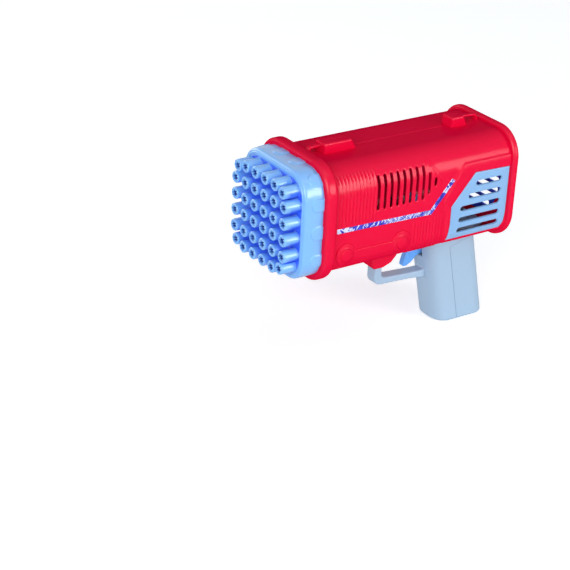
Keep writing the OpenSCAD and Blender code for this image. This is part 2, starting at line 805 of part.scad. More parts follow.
left_shell();
right_shell();
front_collar();
rear_cap();
rear_grille();
nozzle_head();
left_panel();
right_panel();
left_stripe();
right_stripe();
grip_frame();
battery_door();
door_screw();
battery_tray();
battery_cells();
battery_contacts();
battery_springs();
trigger();
trigger_pin();
trigger_spring();
switch_bracket();
switch_body();
switch_plunger();
fan_bulkhead();
fan_rotor();
motor_shaft();
motor_can();
motor_end_bell();
motor_mount();
mount_screws();
shell_screws();
switch_motor_lead();
battery_switch_lead();
motor_battery_lead();
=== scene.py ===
import math

import bpy
import numpy as np
from mathutils import Matrix


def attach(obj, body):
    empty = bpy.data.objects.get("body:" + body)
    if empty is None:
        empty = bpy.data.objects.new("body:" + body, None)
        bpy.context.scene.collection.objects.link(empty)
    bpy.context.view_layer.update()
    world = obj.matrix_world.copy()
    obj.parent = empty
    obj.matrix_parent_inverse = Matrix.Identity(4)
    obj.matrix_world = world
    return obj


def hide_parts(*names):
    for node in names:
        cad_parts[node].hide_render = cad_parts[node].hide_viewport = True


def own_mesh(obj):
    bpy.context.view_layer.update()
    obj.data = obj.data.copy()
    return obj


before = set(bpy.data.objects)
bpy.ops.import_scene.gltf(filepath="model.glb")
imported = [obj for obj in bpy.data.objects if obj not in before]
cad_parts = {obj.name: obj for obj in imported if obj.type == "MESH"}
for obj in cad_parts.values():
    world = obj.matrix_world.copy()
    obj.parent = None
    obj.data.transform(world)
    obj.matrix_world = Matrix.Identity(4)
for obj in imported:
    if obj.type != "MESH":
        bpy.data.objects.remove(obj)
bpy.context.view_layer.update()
print("frame loaded,", len(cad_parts), "nodes")

# the blower's own measures, in millimetres: d runs back from the tube tips, h up from the barrel axis
layout = dict(
    tipX=112.548, axisZ=128.0,
    caseSec=(43.2, 43.4, 43.0, 22.0, 15.0),  # half-width, top, bottom, upper radius, lower radius
    headSec=(43.2, 44.6, 44.6, 20.5, 20.5),
    capSec=(43.8, 43.6, 46.0, 21.0, 21.0),
    caseStart=33.2, caseEnd=212.6, wall=2.4, seamGap=0.05,
)
mm = 0.001


def place(d, y, h):  # depth, side and height turned into frame coordinates, in metres
    d, y, h = np.broadcast_arrays(np.asarray(d, float), y, h)
    return np.stack([layout["tipX"] - d, y, layout["axisZ"] + h], -1) * mm


def ease(x, low, high):  # 0 below low, 1 above high, smooth between
    t = np.clip((x - low) / (high - low), 0, 1)
    return t * t * (3 - 2 * t)


def circle(count):  # evenly spaced angles round a circle
    return np.arange(count) / count * 2 * math.pi


def quarter(count):  # evenly spaced angles over a quarter turn, both ends in
    return np.linspace(0, math.pi / 2, count)


def halfSection(s, sec):
    # left half of a round-cornered section by arc length s, equal to the height on its flat side:
    # the upper arc turns by (s - its start) / radius, the lower arc likewise downwards, the rest is straight
    hw, top, bottom, rt, rb = sec
    s1, s3 = top - rt, rb - bottom
    a = np.clip((s - s1) / rt, 0, math.pi / 2)
    b = np.clip((s3 - s) / rb, 0, math.pi / 2)
    over = np.maximum(s - s1 - rt * math.pi / 2, 0) + np.maximum(s3 - rb * math.pi / 2 - s, 0)
    y = hw - rt * (1 - np.cos(a)) - rb * (1 - np.cos(b)) - over
    z = np.clip(s, s3, s1) + rt * np.sin(a) - rb * np.sin(b)
    return y, z, np.cos(a) * np.cos(b), np.sin(a) - np.sin(b)


def sectionEnds(sec):  # arc length at the bottom and top middle of a section
    hw, top, bottom, rt, rb = sec
    return (rb - bottom - rb * math.pi / 2 - (hw - rb), top - rt + rt * math.pi / 2 + hw - rt)


def sideLine(h, sec=layout["caseSec"]):  # arc length of a height on the side of a section
    hw, top, bottom, rt, rb = sec
    h = np.asarray(h, float)
    up = np.arcsin(np.clip((h - top + rt) / rt, 0, 1)) * rt
    down = np.arcsin(np.clip((rb - bottom - h) / rb, 0, 1)) * rb
    return np.clip(h, rb - bottom, top - rt) + up - down


def loopLine(count, sec):  # arc lengths of even points down the left half and up the right, and their sides
    low, high = sectionEnds(sec)
    t = np.arange(count) / count * 2 * (high - low)
    left = t < high - low
    return np.where(left, high - t, 2 * low - high + t), np.where(left, 1, -1)


def loopSection(count, sec):  # evenly spaced points round a whole section, with their normals
    s, sign = loopLine(count, sec)
    y, z, ny, nz = halfSection(s, sec)
    return y * sign, z, ny * sign, nz


def onCase(d, s, rise, side, least=-np.inf):
    # points over the casing: section point plus rise times its normal, at least that far from the middle
    y, z, ny, nz = halfSection(s, layout["caseSec"])
    return place(d, side * np.maximum(y + rise * ny, least), z + rise * nz)


def gridFaces(rows, cols, closeRows=False, closeCols=False):
    # quads between neighbouring points of a grid, wrapping round where a direction is closed
    r, c = np.meshgrid(np.arange(rows - (not closeRows)), np.arange(cols - (not closeCols)), indexing="ij")
    r2, c2 = (r + 1) % rows, (c + 1) % cols
    return np.stack([r * cols + c, r2 * cols + c, r2 * cols + c2, r * cols + c2], -1).reshape(-1, 4)


def closedSkin(points, faceSets):
    # turns a closed skin outwards: the sum of its corner triple products, its volume, has to be positive
    points = points.reshape(-1, 3)
    p = points - points.mean(0)
    volume = sum(np.einsum("ij,ij->", p[f[:, 0]], np.cross(p[f[:, k]], p[f[:, k + 1]]))
                 for f in faceSets for k in range(1, f.shape[1] - 1))
    return points, [f if volume > 0 else f[:, ::-1] for f in faceSets]


def ringSkin(grid):  # closed skin of a grid that wraps round both ways
    return closedSkin(grid, [gridFaces(*grid.shape[:2], True, True)])


def capped(grid):
    # a stack of closed rings (rows of a grid) with a flat face over the first and the last ring
    rows, cols = grid.shape[:2]
    ring = np.arange(cols)[None]
    return closedSkin(grid, [gridFaces(rows, cols, closeCols=True), ring, ring[:, ::-1] + (rows - 1) * cols])


def wallSkin(outer, inner, keep, closeCols=False):
    # two facing grids with the same quads, those that keep marks, and a rim along every cut edge
    rows, cols = outer.shape[:2]
    quads = gridFaces(rows, cols, closeCols=closeCols)[keep.ravel()]
    count = rows * cols
    a, b = quads.ravel(), np.roll(quads, -1, 1).ravel()
    free = ~np.isin(a * count + b, b * count + a)
    rim = np.stack([b[free], a[free], a[free] + count, b[free] + count], -1)
    faces = np.concatenate([quads, quads[:, ::-1] + count, rim])
    used, back = np.unique(faces, return_inverse=True)
    points = np.concatenate([outer.reshape(-1, 3), inner.reshape(-1, 3)])
    return closedSkin(points[used], [back.reshape(-1, 4)])


def polyDistance(x, y, corners):
    # distance to a polygon's outline, negative inside: nearest point over all edges, sign by crossings
    best, inside = np.full(np.shape(x), np.inf), np.zeros(np.shape(x), bool)
    for (ax, ay), (bx, by) in zip(corners, np.roll(corners, -1, 0)):
        ex, ey = bx - ax, by - ay
        t = np.clip(((x - ax) * ex + (y - ay) * ey) / (ex * ex + ey * ey), 0, 1)
        best = np.minimum(best, (x - ax - ex * t) ** 2 + (y - ay - ey * t) ** 2)
        if ey:
            inside ^= ((ay <= y) != (by <= y)) & (x < ax + ex * (y - ay) / ey)
    return np.sqrt(best) * np.where(inside, -1, 1)


def barDistance(along, across, start, end, radius):  # distance to a bar with round ends, negative inside
    return np.hypot(along - np.clip(along, start, end), across) - radius


def snapTo(d, s, distance, reach):
    # grid points nearer than reach to an outline slide onto it, along the slope of the distance
    f, step = distance(d, s), 0.02
    gd = (distance(d + step, s) - distance(d - step, s)) / (2 * step)
    gs = (distance(d, s + step) - distance(d, s - step)) / (2 * step)
    near = np.where(np.abs(f) < reach, f, 0)
    return d - near * gd, s - near * gs


def quadMiddle(a):  # mean of the four corners of each quad of a grid
    return (a[:-1, :-1] + a[1:, :-1] + a[1:, 1:] + a[:-1, 1:]) / 4


def gridLines(hard, soft, step, clear=0.24):
    # lines of a grid: hard ones stay, soft ones join where clear of the others, wide gaps are filled evenly
    lines = np.unique(np.round(hard, 3))
    for x in soft:
        if np.min(np.abs(lines - x)) > clear:
            lines = np.sort(np.append(lines, x))
    spans = [np.linspace(a, b, math.ceil((b - a) / step), endpoint=False) for a, b in zip(lines, lines[1:])]
    return np.concatenate(spans + [lines[-1:]])


def quarterDrop(f, r):  # how far a quarter round of radius r lies under its flat, at distance f from the edge
    return r - np.sqrt(np.maximum(r * r - np.maximum(r - np.maximum(f, 0), 0) ** 2, 0))


def roundOutline(corners, radii, steps=6, inset=0.0):
    # closed outline with arcs for corners; moving in shrinks convex arcs and widens concave ones
    p = np.asarray(corners, float)
    toPrev, toNext = np.roll(p, 1, 0) - p, np.roll(p, -1, 0) - p
    lp, ln = np.linalg.norm(toPrev, axis=1), np.linalg.norm(toNext, axis=1)
    u, v = toPrev / lp[:, None], toNext / ln[:, None]
    half = np.arccos(np.clip((u * v).sum(1), -1, 1)) / 2
    run = np.minimum(np.broadcast_to(radii, len(p)) / np.tan(half), 0.48 * np.minimum(lp, ln))
    r = run * np.tan(half)
    mid = (u + v) / np.maximum(np.linalg.norm(u + v, axis=1), 1e-9)[:, None]
    x, y = p.T
    area = (x * np.roll(y, -1) - np.roll(x, -1) * y).sum()
    convex = area * (u[:, 1] * v[:, 0] - u[:, 0] * v[:, 1]) > 0
    left = np.where(convex, np.maximum(r - inset, 0.02), r + inset)
    centre = p + mid * (np.where(convex, inset + left, r) / np.sin(half))[:, None]
    a, b = (k * run[:, None] - mid * (r / np.sin(half))[:, None] for k in (u, v))
    turn = np.maximum(math.pi - 2 * half, 1e-4)[:, None, None]
    t = np.linspace(0, 1, steps + 1)[None, :, None]
    arc = (np.sin((1 - t) * turn) * a[:, None] + np.sin(t * turn) * b[:, None]) / np.sin(turn)
    return (centre[:, None] + arc * (left / r)[:, None, None]).reshape(-1, 2)


def inwards(outline):  # unit normals of a closed outline, pointing in
    t = np.roll(outline, -1, 0) - np.roll(outline, 1, 0)
    n = np.stack([-t[:, 1], t[:, 0]], 1) / np.linalg.norm(t, axis=1)[:, None]
    x, y = outline.T
    area = (x * np.roll(y, -1) - np.roll(x, -1) * y).sum()
    return n if area > 0 else -n


def edgeRings(start, end, edgeStart, edgeEnd, steps=5):
    # insets and positions of the rings of a bar whose rims are quarter rounds; a sharp rim takes one ring
    a = quarter(steps + 1)
    inset, rise = 1 - np.sin(a), 1 - np.cos(a)
    n, m = (len(a) if edge else 1 for edge in (edgeStart, edgeEnd))
    moves = np.concatenate([edgeStart * inset[:n], edgeEnd * inset[::-1][:m]])
    return moves, np.concatenate([start + edgeStart * rise[:n], end - edgeEnd * rise[::-1][:m]])


def acrossBar(corners, radii, y0, y1, edge0, edge1, steps=5):
    # a round-cornered outline in depth and height carried across from y0 to y1, with round rims
    inset, y = edgeRings(y0, y1, edge0, edge1, steps)
    line = np.stack([roundOutline(corners, radii, inset=k) for k in inset])
    return capped(place(line[..., 0], y[:, None], line[..., 1]))


def ringSweep(sec, profile, count):
    # a closed profile (outwards, depth) carried round a section: section point plus outward times its normal
    y, z, ny, nz = loopSection(count, sec)
    u, d = np.asarray(profile, float).T[:, :, None]
    return ringSkin(place(d, y + u * ny, z + u * nz))


def turned(profile, d, h, count=40):
    # a closed profile (radius, y) turned about an axis across the blower
    a = circle(count)
    r, y = np.asarray(profile, float).T[:, :, None]
    return ringSkin(place(d + r * np.cos(a), y, h + r * np.sin(a)))


def tubeAlong(route, radius, sides, perSpan):
    # a circle carried along the Hermite curve through a route; slopes come from each point's neighbours
    p = place(*np.asarray(route, float).T)
    k = np.arange(len(p))
    slope = (p[np.minimum(k + 1, len(p) - 1)] - p[np.maximum(k - 1, 0)]) / 2
    t = np.linspace(0, len(p) - 1, perSpan * (len(p) - 1) + 1)
    i = np.minimum(t.astype(int), len(p) - 2)
    f = (t - i)[:, None]
    line = p[i] * (1 + 2 * f) * (1 - f) ** 2 + slope[i] * f * (1 - f) ** 2 \
        + p[i + 1] * f * f * (3 - 2 * f) + slope[i + 1] * f * f * (f - 1)
    w = np.gradient(line, axis=0)
    u = np.cross((0.3, 1.0, 0.2), w)
    u /= np.linalg.norm(u, axis=1)[:, None]
    v = np.cross(w, u) / np.linalg.norm(w, axis=1)[:, None]
    a = circle(sides)[None, :, None]
    return capped(line[:, None] + radius * mm * (np.cos(a) * u[:, None] + np.sin(a) * v[:, None]))


def sided(skins, side):  # skins made for the left, mirrored where the right side is asked for
    return [closedSkin(p * (1, -1, 1), f) if side < 0 else (p, f) for p, f in skins]


def makePiece(name, skins, finish, body, nodes, crease=36):
    # joins closed skins into one mesh at the origin; edges sharper than crease degrees shade hard
    points = np.concatenate([s[0] for s in skins])
    starts = np.cumsum([0] + [len(s[0]) for s in skins[:-1]])
    sets = [f + k for s, k in zip(skins, starts) for f in s[1]]
    corners = np.concatenate([f.ravel() for f in sets]).astype(np.int32)
    sizes = np.concatenate([np.full(len(f), f.shape[1]) for f in sets])
    mesh = bpy.data.meshes.new(name)
    mesh.vertices.add(len(points))
    mesh.vertices.foreach_set("co", points.astype(np.float32).ravel())
    mesh.loops.add(len(corners))
    mesh.loops.foreach_set("vertex_index", corners)
    mesh.polygons.add(len(sizes))
    mesh.polygons.foreach_set("loop_start", (np.cumsum(sizes) - sizes).astype(np.int32))
    mesh.update(calc_edges=True)
    mesh.validate()
    mesh.polygons.foreach_set("use_smooth", np.ones(len(mesh.polygons), bool))
    mesh.set_sharp_from_angle(angle=math.radians(crease))
    mesh.materials.append(finishes[finish])
    piece = bpy.data.objects.new(name, mesh)
    bpy.context.scene.collection.objects.link(piece)
    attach(piece, body)
    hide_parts(*nodes)
    print("made", name, len(mesh.polygons), "faces,", int((sizes - 2).sum()), "triangles")
    return piece


# finishes
def setInputs(tree, node, values):  # a socket of another node is linked, any other value is set
    for key, value in dict(values).items():
        if isinstance(value, bpy.types.NodeSocket):
            tree.links.new(value, node.inputs[key])
        else:
            node.inputs[key].default_value = value


def addNode(tree, kind, values=(), **settings):
    node = tree.nodes.new(kind)
    for key, value in settings.items():
        setattr(node, key, value)
    setInputs(tree, node, values)
    return node


def mathNode(tree, operation, *values):
    return addNode(tree, "ShaderNodeMath", enumerate(values), operation=operation).outputs[0]


def rampNode(tree, value, start, end, top=1.0):  # 0 at start, top at end, held beyond them
    values = {"Value": value, "From Min": start, "From Max": end, "To Max": top}
    return addNode(tree, "ShaderNodeMapRange", values).outputs["Result"]


def mixColour(tree, factor, first, second):
    first, second = ((*k, 1.0) if isinstance(k, tuple) else k for k in (first, second))
    return addNode(tree, "ShaderNodeMix", {0: factor, 6: first, 7: second}, data_type="RGBA").outputs[2]


def newMaterial(name):
    material = bpy.data.materials.new(name)
    material.use_nodes = True
    tree = material.node_tree
    coords = tree.nodes.new("ShaderNodeTexCoord")
    return material, tree, tree.nodes["Principled BSDF"], coords.outputs["Object"]


def mouldSkinGroup():
    # injection-moulded skin: slow shade drift, fine polish marks in the gloss, a faint orange-peel height
    group = bpy.data.node_groups.new("mouldSkin", "ShaderNodeTree")
    group.interface.new_socket("Vector", in_out="INPUT", socket_type="NodeSocketVector")
    for label, value in (("Gloss", 0.3), ("Spread", 0.1), ("Grain", 900.0)):
        socket = group.interface.new_socket(label, in_out="INPUT", socket_type="NodeSocketFloat")
        socket.default_value = value
    for label in ("Drift", "Roughness", "Height"):
        group.interface.new_socket(label, in_out="OUTPUT", socket_type="NodeSocketFloat")
    given = group.nodes.new("NodeGroupInput").outputs
    vector = given["Vector"]

    def noise(values):
        return addNode(group, "ShaderNodeTexNoise", values).outputs["Fac"]

    drift = noise({"Vector": vector, "Scale": 26.0, "Detail": 3.0, "Roughness": 0.55})
    stretch = addNode(group, "ShaderNodeMapping",
                      {"Vector": vector, "Scale": (60.0, 420.0, 420.0), "Rotation": (0.3, 0.2, 0.5)})
    marks = noise({"Vector": stretch.outputs["Vector"], "Scale": 4.0, "Detail": 4.0, "Roughness": 0.7})
    peel = noise({"Vector": vector, "Scale": given["Grain"], "Detail": 2.0, "Roughness": 0.6})
    mixed = mathNode(group, "ADD", mathNode(group, "MULTIPLY", drift, 0.6),
                     mathNode(group, "MULTIPLY", marks, 0.4))
    centred = mathNode(group, "SUBTRACT", mixed, 0.5)
    rough = mathNode(group, "MULTIPLY_ADD", centred, given["Spread"], given["Gloss"])
    addNode(group, "NodeGroupOutput", {"Drift": drift, "Roughness": rough, "Height": peel})
    return group


mouldSkin = mouldSkinGroup()


def paintedTubeShade(tree, vector, colour, deep):
    # painted shade: deeper colour on the plate between the tubes, on the tubes' undersides and on the inner
    # tubes' sides, where the tubes shade each other, and dark bores painted as the shade inside them
    def maths(operation, *values):
        return mathNode(tree, operation, *values)

    def length(a, b):
        return maths("SQRT", maths("ADD", maths("MULTIPLY", a, a), maths("MULTIPLY", b, b)))

    def cell(value):  # place within a tube's square, from 0 to 1
        return maths("FRACT", maths("DIVIDE", value, deep["pitch"]))

    axes = addNode(tree, "ShaderNodeSeparateXYZ", {"Vector": vector}).outputs
    x, level = axes["X"], maths("SUBTRACT", axes["Z"], deep["middle"])
    sides = maths("ABSOLUTE", axes["Y"]), maths("ABSOLUTE", level)
    reach = length(*(maths("MAXIMUM", maths("SUBTRACT", k, deep["flat"]), 0.0) for k in sides))
    front = maths("GREATER_THAN", x, deep["plateBack"])
    ahead = maths("MULTIPLY", front, rampNode(tree, reach, *deep["round"]))
    under = rampNode(tree, cell(level), *deep["under"])
    inner = rampNode(tree, maths("MAXIMUM", sides[0], level), *deep["outer"])
    walls = maths("MULTIPLY", rampNode(tree, x, *deep["wall"]), maths("MAXIMUM", under, inner))
    shade = maths("MAXIMUM", maths("LESS_THAN", x, deep["plateFront"]), walls)
    # painted shade: the deeper colour mixed in where the tubes shade the plate and each other
    colour = mixColour(tree, maths("MULTIPLY", shade, ahead), colour, deep["colour"])
    # painted shade in the bores: dark circles at the tubes' mouths
    tucked = maths("MULTIPLY", maths("GREATER_THAN", maths("MINIMUM", *sides), deep["corner"]), deep["tuck"])
    centre = length(*(maths("SUBTRACT", cell(maths("ADD", k, tucked)), 0.5) for k in sides))
    bore = maths("MULTIPLY", maths("LESS_THAN", centre, deep["bore"] / deep["pitch"]), ahead)
    bore = maths("MULTIPLY", bore, rampNode(tree, x, *deep["inBore"]))
    return mixColour(tree, bore, colour, deep["dark"])


def mouldedFinish(name, light, dark, gloss, spread, grain, peel, shine=0.5, coat=0.0, metal=0.0, glow=0.0,
                  facing=0.0, rim=0.12, deep=None):
    material, tree, shader, vector = newMaterial(name)
    values = {"Vector": vector, "Gloss": gloss, "Spread": spread, "Grain": grain}
    skin = addNode(tree, "ShaderNodeGroup", values, node_tree=mouldSkin).outputs
    bump = addNode(tree, "ShaderNodeBump", {"Strength": peel, "Distance": 0.0004, "Height": skin["Height"]})
    colour = mixColour(tree, skin["Drift"], dark, light)
    # deep holds the places and colours of painted shade among the nozzle's tubes
    if deep:
        colour = paintedTubeShade(tree, vector, colour, deep)
    if facing:  # coat that fades towards grazing, as facing times the cube of the cosine
        weight = addNode(tree, "ShaderNodeLayerWeight", {"Blend": 0.5})
        cosine = mathNode(tree, "SUBTRACT", 1.0, weight.outputs["Facing"])
        coat = mathNode(tree, "MULTIPLY", mathNode(tree, "POWER", cosine, 3.0), facing)
    setInputs(tree, shader, {
        "Base Color": colour, "Roughness": skin["Roughness"], "Normal": bump.outputs["Normal"],
        "Specular IOR Level": shine, "Coat Weight": coat, "Coat Roughness": rim, "Metallic": metal,
        "Subsurface Weight": glow, "Subsurface Radius": (0.1, 0.35, 1.0), "Subsurface Scale": 0.005})
    return material


# places of the nozzle's painted shade in metres, deeper colour among the tubes and dark in their bores; a
# ramp's third number is its top share
tubePaintedShade = dict(
    plateFront=0.09955, plateBack=0.09865, wall=(0.1118, 0.107, 0.9), outer=(0.031, 0.027, 0.8),
    under=(0.6, 0.3), flat=0.0225, round=(0.0175, 0.0155), pitch=0.0135, middle=0.128,
    corner=0.0256, tuck=0.0028, bore=0.0038, inBore=(0.1122, 0.1105, 0.85),
    # painted shade colours: deeper blue among the tubes, dark blue in the bores
    colour=(0.02, 0.11, 0.88), dark=(0.02, 0.06, 0.4),
)
# light and dark shade, gloss and its spread, grain, peel strength, and what differs from plain plastic
finishSet = dict(
    redCasing=((0.78, 0.003, 0.045), (0.72, 0.002, 0.036), 0.22, 0.12, 1100.0, 0.03,
               dict(shine=0.0, facing=0.65, rim=0.2)),
    skyNozzle=((0.21, 0.49, 0.93), (0.18, 0.45, 0.91), 0.3, 0.1, 1000.0, 0.03,
               dict(shine=0.6, glow=0.15, coat=0.5, rim=0.16, deep=tubePaintedShade)),
    skyTrigger=((0.13, 0.4, 0.93), (0.11, 0.37, 0.91), 0.3, 0.1, 1000.0, 0.03, dict(glow=0.3)),
    palePanel=((0.235, 0.445, 0.73), (0.215, 0.425, 0.715), 0.28, 0.06, 1000.0, 0.04, dict(shine=0.6)),
    greyGrip=((0.37, 0.52, 0.67), (0.34, 0.49, 0.64), 0.38, 0.16, 1500.0, 0.1, dict(shine=0.4)),
    # the grille's sky-blue plastic painted deeper and darker blue, as painted shade
    skyGrillePaintedShade=((0.04, 0.1, 0.95), (0.035, 0.085, 0.9), 0.3, 0.1, 1000.0, 0.03, dict(shine=0.2)),
    darkPart=((0.03, 0.03, 0.034), (0.02, 0.02, 0.023), 0.42, 0.18, 1300.0, 0.1, {}),
    whitePart=((0.68, 0.69, 0.68), (0.6, 0.61, 0.61), 0.4, 0.16, 1200.0, 0.08, {}),
    steelPart=((0.62, 0.63, 0.65), (0.5, 0.51, 0.53), 0.3, 0.25, 2500.0, 0.06, dict(metal=1.0)),
    redLead=((0.5, 0.02, 0.02), (0.42, 0.015, 0.015), 0.45, 0.14, 2500.0, 0.08, {}),
    blackLead=((0.02, 0.02, 0.02), (0.012, 0.012, 0.012), 0.45, 0.14, 2500.0, 0.08, {}),
    cellJacket=((0.05, 0.09, 0.12), (0.035, 0.065, 0.09), 0.3, 0.14, 1800.0, 0.05, dict(coat=0.3)),
)
finishes = {name: mouldedFinish(name, *values, **extra) for name, (*values, extra) in finishSet.items()}

# printed stripe: places along the casing in metres, slant and scale of the chips, colours and thresholds
stripePrint = dict(
    frontEnd=(0.05, 0.058, 0.25), tailEnd=(-0.03, -0.042, 0.2), middle=(0.024, 0.01),
    rise=(-0.95, (330.0, 60.0, 1350.0)), fall=(0.8, (380.0, 60.0, 1350.0)),
    fine=(-0.6, (520.0, 60.0, 1250.0)),
    ground=((0.0, (0.012, 0.01, 0.2)), (0.55, (0.025, 0.025, 0.5)), (1.0, (0.07, 0.08, 0.66))),
    lilac=(0.42, 0.48, 0.86), lilacFrom=0.5, lilacShare=0.7,
    white=(0.66, 0.7, 0.92), dashFrom=0.84, strayFrom=0.95, fleckFrom=0.85, gloss=0.3, shine=0.3,
)


def stripeFinish(name, p):
    # printed film: royal and navy ground with white dashes, which are stretched Voronoi cells in three slants
    # picked by their random value; more white towards both ends, lilac chips and flecks in the middle run
    material, tree, shader, vector = newMaterial(name)

    def maths(operation, *values):
        return mathNode(tree, operation, *values)

    def chips(turn, scale):  # two random values of slanted, stretched cells
        slant = addNode(tree, "ShaderNodeMapping", {"Vector": vector, "Rotation": (0.0, turn, 0.0)})
        stretch = addNode(tree, "ShaderNodeMapping", {"Vector": slant.outputs["Vector"], "Scale": scale})
        values = {"Vector": stretch.outputs["Vector"], "Scale": 1.0, "Randomness": 0.9}
        cells = addNode(tree, "ShaderNodeTexVoronoi", values, feature="F1")
        pick = addNode(tree, "ShaderNodeSeparateColor", {"Color": cells.outputs["Color"]})
        return pick.outputs["Red"], pick.outputs["Green"]

    along = addNode(tree, "ShaderNodeSeparateXYZ", {"Vector": vector}).outputs["X"]
    more = maths("ADD", rampNode(tree, along, *p["frontEnd"]), rampNode(tree, along, *p["tailEnd"]))
    middle = rampNode(tree, maths("ABSOLUTE", along), *p["middle"])
    rise, tone = chips(*p["rise"])
    fall = chips(*p["fall"])[0]
    fine, shade = chips(*p["fine"])
    ground = addNode(tree, "ShaderNodeValToRGB", {"Fac": tone})
    stops = ground.color_ramp.elements
    for k, (at, colour) in enumerate(p["ground"]):
        stop = stops[k] if k < 2 else stops.new(at)
        stop.position, stop.color = at, (*colour, 1.0)
    lilac = maths("MULTIPLY", maths("GREATER_THAN", shade, p["lilacFrom"]), middle)
    base = mixColour(tree, maths("MULTIPLY", lilac, p["lilacShare"]), ground.outputs["Color"], p["lilac"])
    dashes = maths("GREATER_THAN", maths("ADD", rise, more), p["dashFrom"])
    strays = maths("GREATER_THAN", maths("ADD", fall, more), p["strayFrom"])
    flecks = maths("MULTIPLY", maths("GREATER_THAN", fine, p["fleckFrom"]), middle)
    white = maths("MAXIMUM", maths("MAXIMUM", dashes, strays), flecks)
    values = {"Vector": vector, "Gloss": p["gloss"]}
    skin = addNode(tree, "ShaderNodeGroup", values, node_tree=mouldSkin)
    setInputs(tree, shader, {"Base Color": mixColour(tree, white, base, p["white"]),
                             "Roughness": skin.outputs["Roughness"], "Specular IOR Level": p["shine"]})
    return material


finishes["chipStripe"] = stripeFinish("chipStripe", stripePrint)
print("finishes ready:", len(finishes))

# camera at the photograph's viewing angle
cameraSet = dict(
    place=(0.74601, 0.96922, 0.64131), sensor=36.0, lens=36.0 * 1661.0 / 570.0, clip=(0.05, 50.0),
    right=(-0.836423, 0.546563, 0.040816), down=(0.211264, 0.390226, -0.896153),
    forward=(-0.505732, -0.74094, -0.441863),
)


def stand(thing, right, up, back, at):  # turns an object by its three axes and puts it in place
    turn = np.eye(4)
    turn[:3] = np.stack([right, up, back, at], 1)
    bpy.context.scene.collection.objects.link(thing)
    thing.matrix_world = Matrix(turn.tolist())


lensData = bpy.data.cameras.new("photoCamera")
lensData.lens, lensData.sensor_width = cameraSet["lens"], cameraSet["sensor"]
lensData.clip_start, lensData.clip_end = cameraSet["clip"]
photoCamera = bpy.data.objects.new("photoCamera", lensData)
stand(photoCamera, cameraSet["right"], -np.array(cameraSet["down"]), -np.array(cameraSet["forward"]),
      cameraSet["place"])
bpy.context.scene.camera = photoCamera

# insulated leads, held inside the casing all the way: depth, side and height of their routes
leadSet = dict(radius=0.8, sides=14, perSpan=12)
leadRoutes = dict(
    switchMotorLead=("switch_motor_lead", "redLead", "red_lead", (
        (101.7, 6, 0), (106, 8, -6), (110, 18, -30), (114, 18, -38), (124, 10, -38), (127, 0, -36),
        (127, 0, -22))),
    batterySwitchLead=("battery_switch_lead", "redLead", "red_lead", (
        (127, -2, -16), (124, -10, -30), (126, -12, -38), (148, -12, -38.4), (161, -12, -35.5),
        (171, -11, -30.4), (177.5, -9.2, -32.8), (181, -7, -46), (182, -7, -56))),
    motorBatteryLead=("motor_battery_lead", "blackLead", "black_lead", (
        (101.7, -6, 0), (106, -10, -8), (112, -20, -28), (120, -20, -38), (146, -16, -38.4), (162, -15, -35),
        (175, -14, -30.8), (183, -11, -34), (187, -8, -46), (188, -7, -56))),
)
for name, (node, finish, slotName, route) in leadRoutes.items():
    makePiece(name, [tubeAlong(route, **leadSet)], finish, "housing", [node])

# nozzle head
nozzle = dict(
    tubes=6, pitch=13.5, radius=4.9, length=13.5, sunk=0.15, tuck=2.8, tipRound=0.9, rootFlare=0.9,
    wallRows=((4.9, 9.0), (4.9, 5.0)), bore=2.35, groove=3.6, grooves=8, grooveHalf=0.475, boreEnd=16.4,
    boreRows=((0.45, 0.0), (0.12, 0.12), (0.0, 0.45), (0.0, 8.0), (0.0, 16.4)),  # growth of the bore, depth
    columns=(-0.5, -0.3, -0.17, -0.125, -0.08, 0.0, 0.08, 0.125, 0.17, 0.3),  # within a groove's share
    faceDepth=13.5, faceThick=2.2, faceIn=3.2, faceRound=17.3, holeRoom=0.55, skirtEnd=33.0, edgeRound=2.4,
    lip=((-2.5, 13.38), (-2.7, 13.05), (-3.0, 12.9), (-3.5, 12.9), (-3.8, 13.02), (-3.95, 13.3),
         (-4.0, 13.9), (-4.0, 15.6)),
    inside=((-2.3, 15.7), (-2.2, 17.0), (-2.2, 33.0)), padUp=0.8, padHalf=5.3, padCentre=25.1, padFrom=16.5,
    padLines=(20.5, -2.5, -25.5), padEnd=11.0,
    spigot=((-2.7, 32.0), (-2.7, 45.6), (-3.0, 46.0), (-4.4, 46.0), (-4.4, 32.0)),
    shelf=((-1.0, 31.0), (-1.0, 33.0), (-6.4, 33.0), (-6.4, 31.0)),
)


def tubeSkins(n):
    # each tube is a grid of angle by profile: root flare, wall, round tip, then back down the splined bore
    step = 2 * math.pi / n["grooves"]
    a = (np.arange(n["grooves"])[:, None] + np.array(n["columns"])).ravel() * step
    off = np.abs((a + step / 2) % step - step / 2)
    half = n["grooveHalf"] / n["groove"]
    inner = n["bore"] + (n["groove"] - n["bore"]) * (1 - ease(off, half * 0.85, half * 1.25))
    cut, rise = 1 - np.cos(quarter(5)), 1 - np.sin(quarter(5))
    flare = np.stack([n["radius"] + n["rootFlare"] * rise, n["length"] + n["sunk"] - n["rootFlare"] * cut], 1)
    tip = np.stack([n["radius"] - n["tipRound"] * cut, n["tipRound"] * rise], 1)
    outer = np.concatenate([flare, n["wallRows"], tip])
    grow, depth = np.array(n["boreRows"]).T[:, :, None]
    r = np.concatenate([outer[:, :1] + 0 * a, inner + grow, [n["groove"] + 0.5 + 0 * a]])
    d = np.concatenate([outer[:, 1:], depth, [[n["boreEnd"]]]])
    row = (np.arange(n["tubes"]) - (n["tubes"] - 1) / 2) * n["pitch"]
    ys, hs = (k.ravel() for k in np.meshgrid(row, row, indexing="ij"))
    corner = np.minimum(np.abs(ys), np.abs(hs)) > 2.4 * n["pitch"]
    ys, hs = (k - corner * np.sign(k) * n["tuck"] for k in (ys, hs))
    return [ringSkin(place(d, y + r * np.cos(a), h + r * np.sin(a))) for y, h in zip(ys, hs)], ys, hs


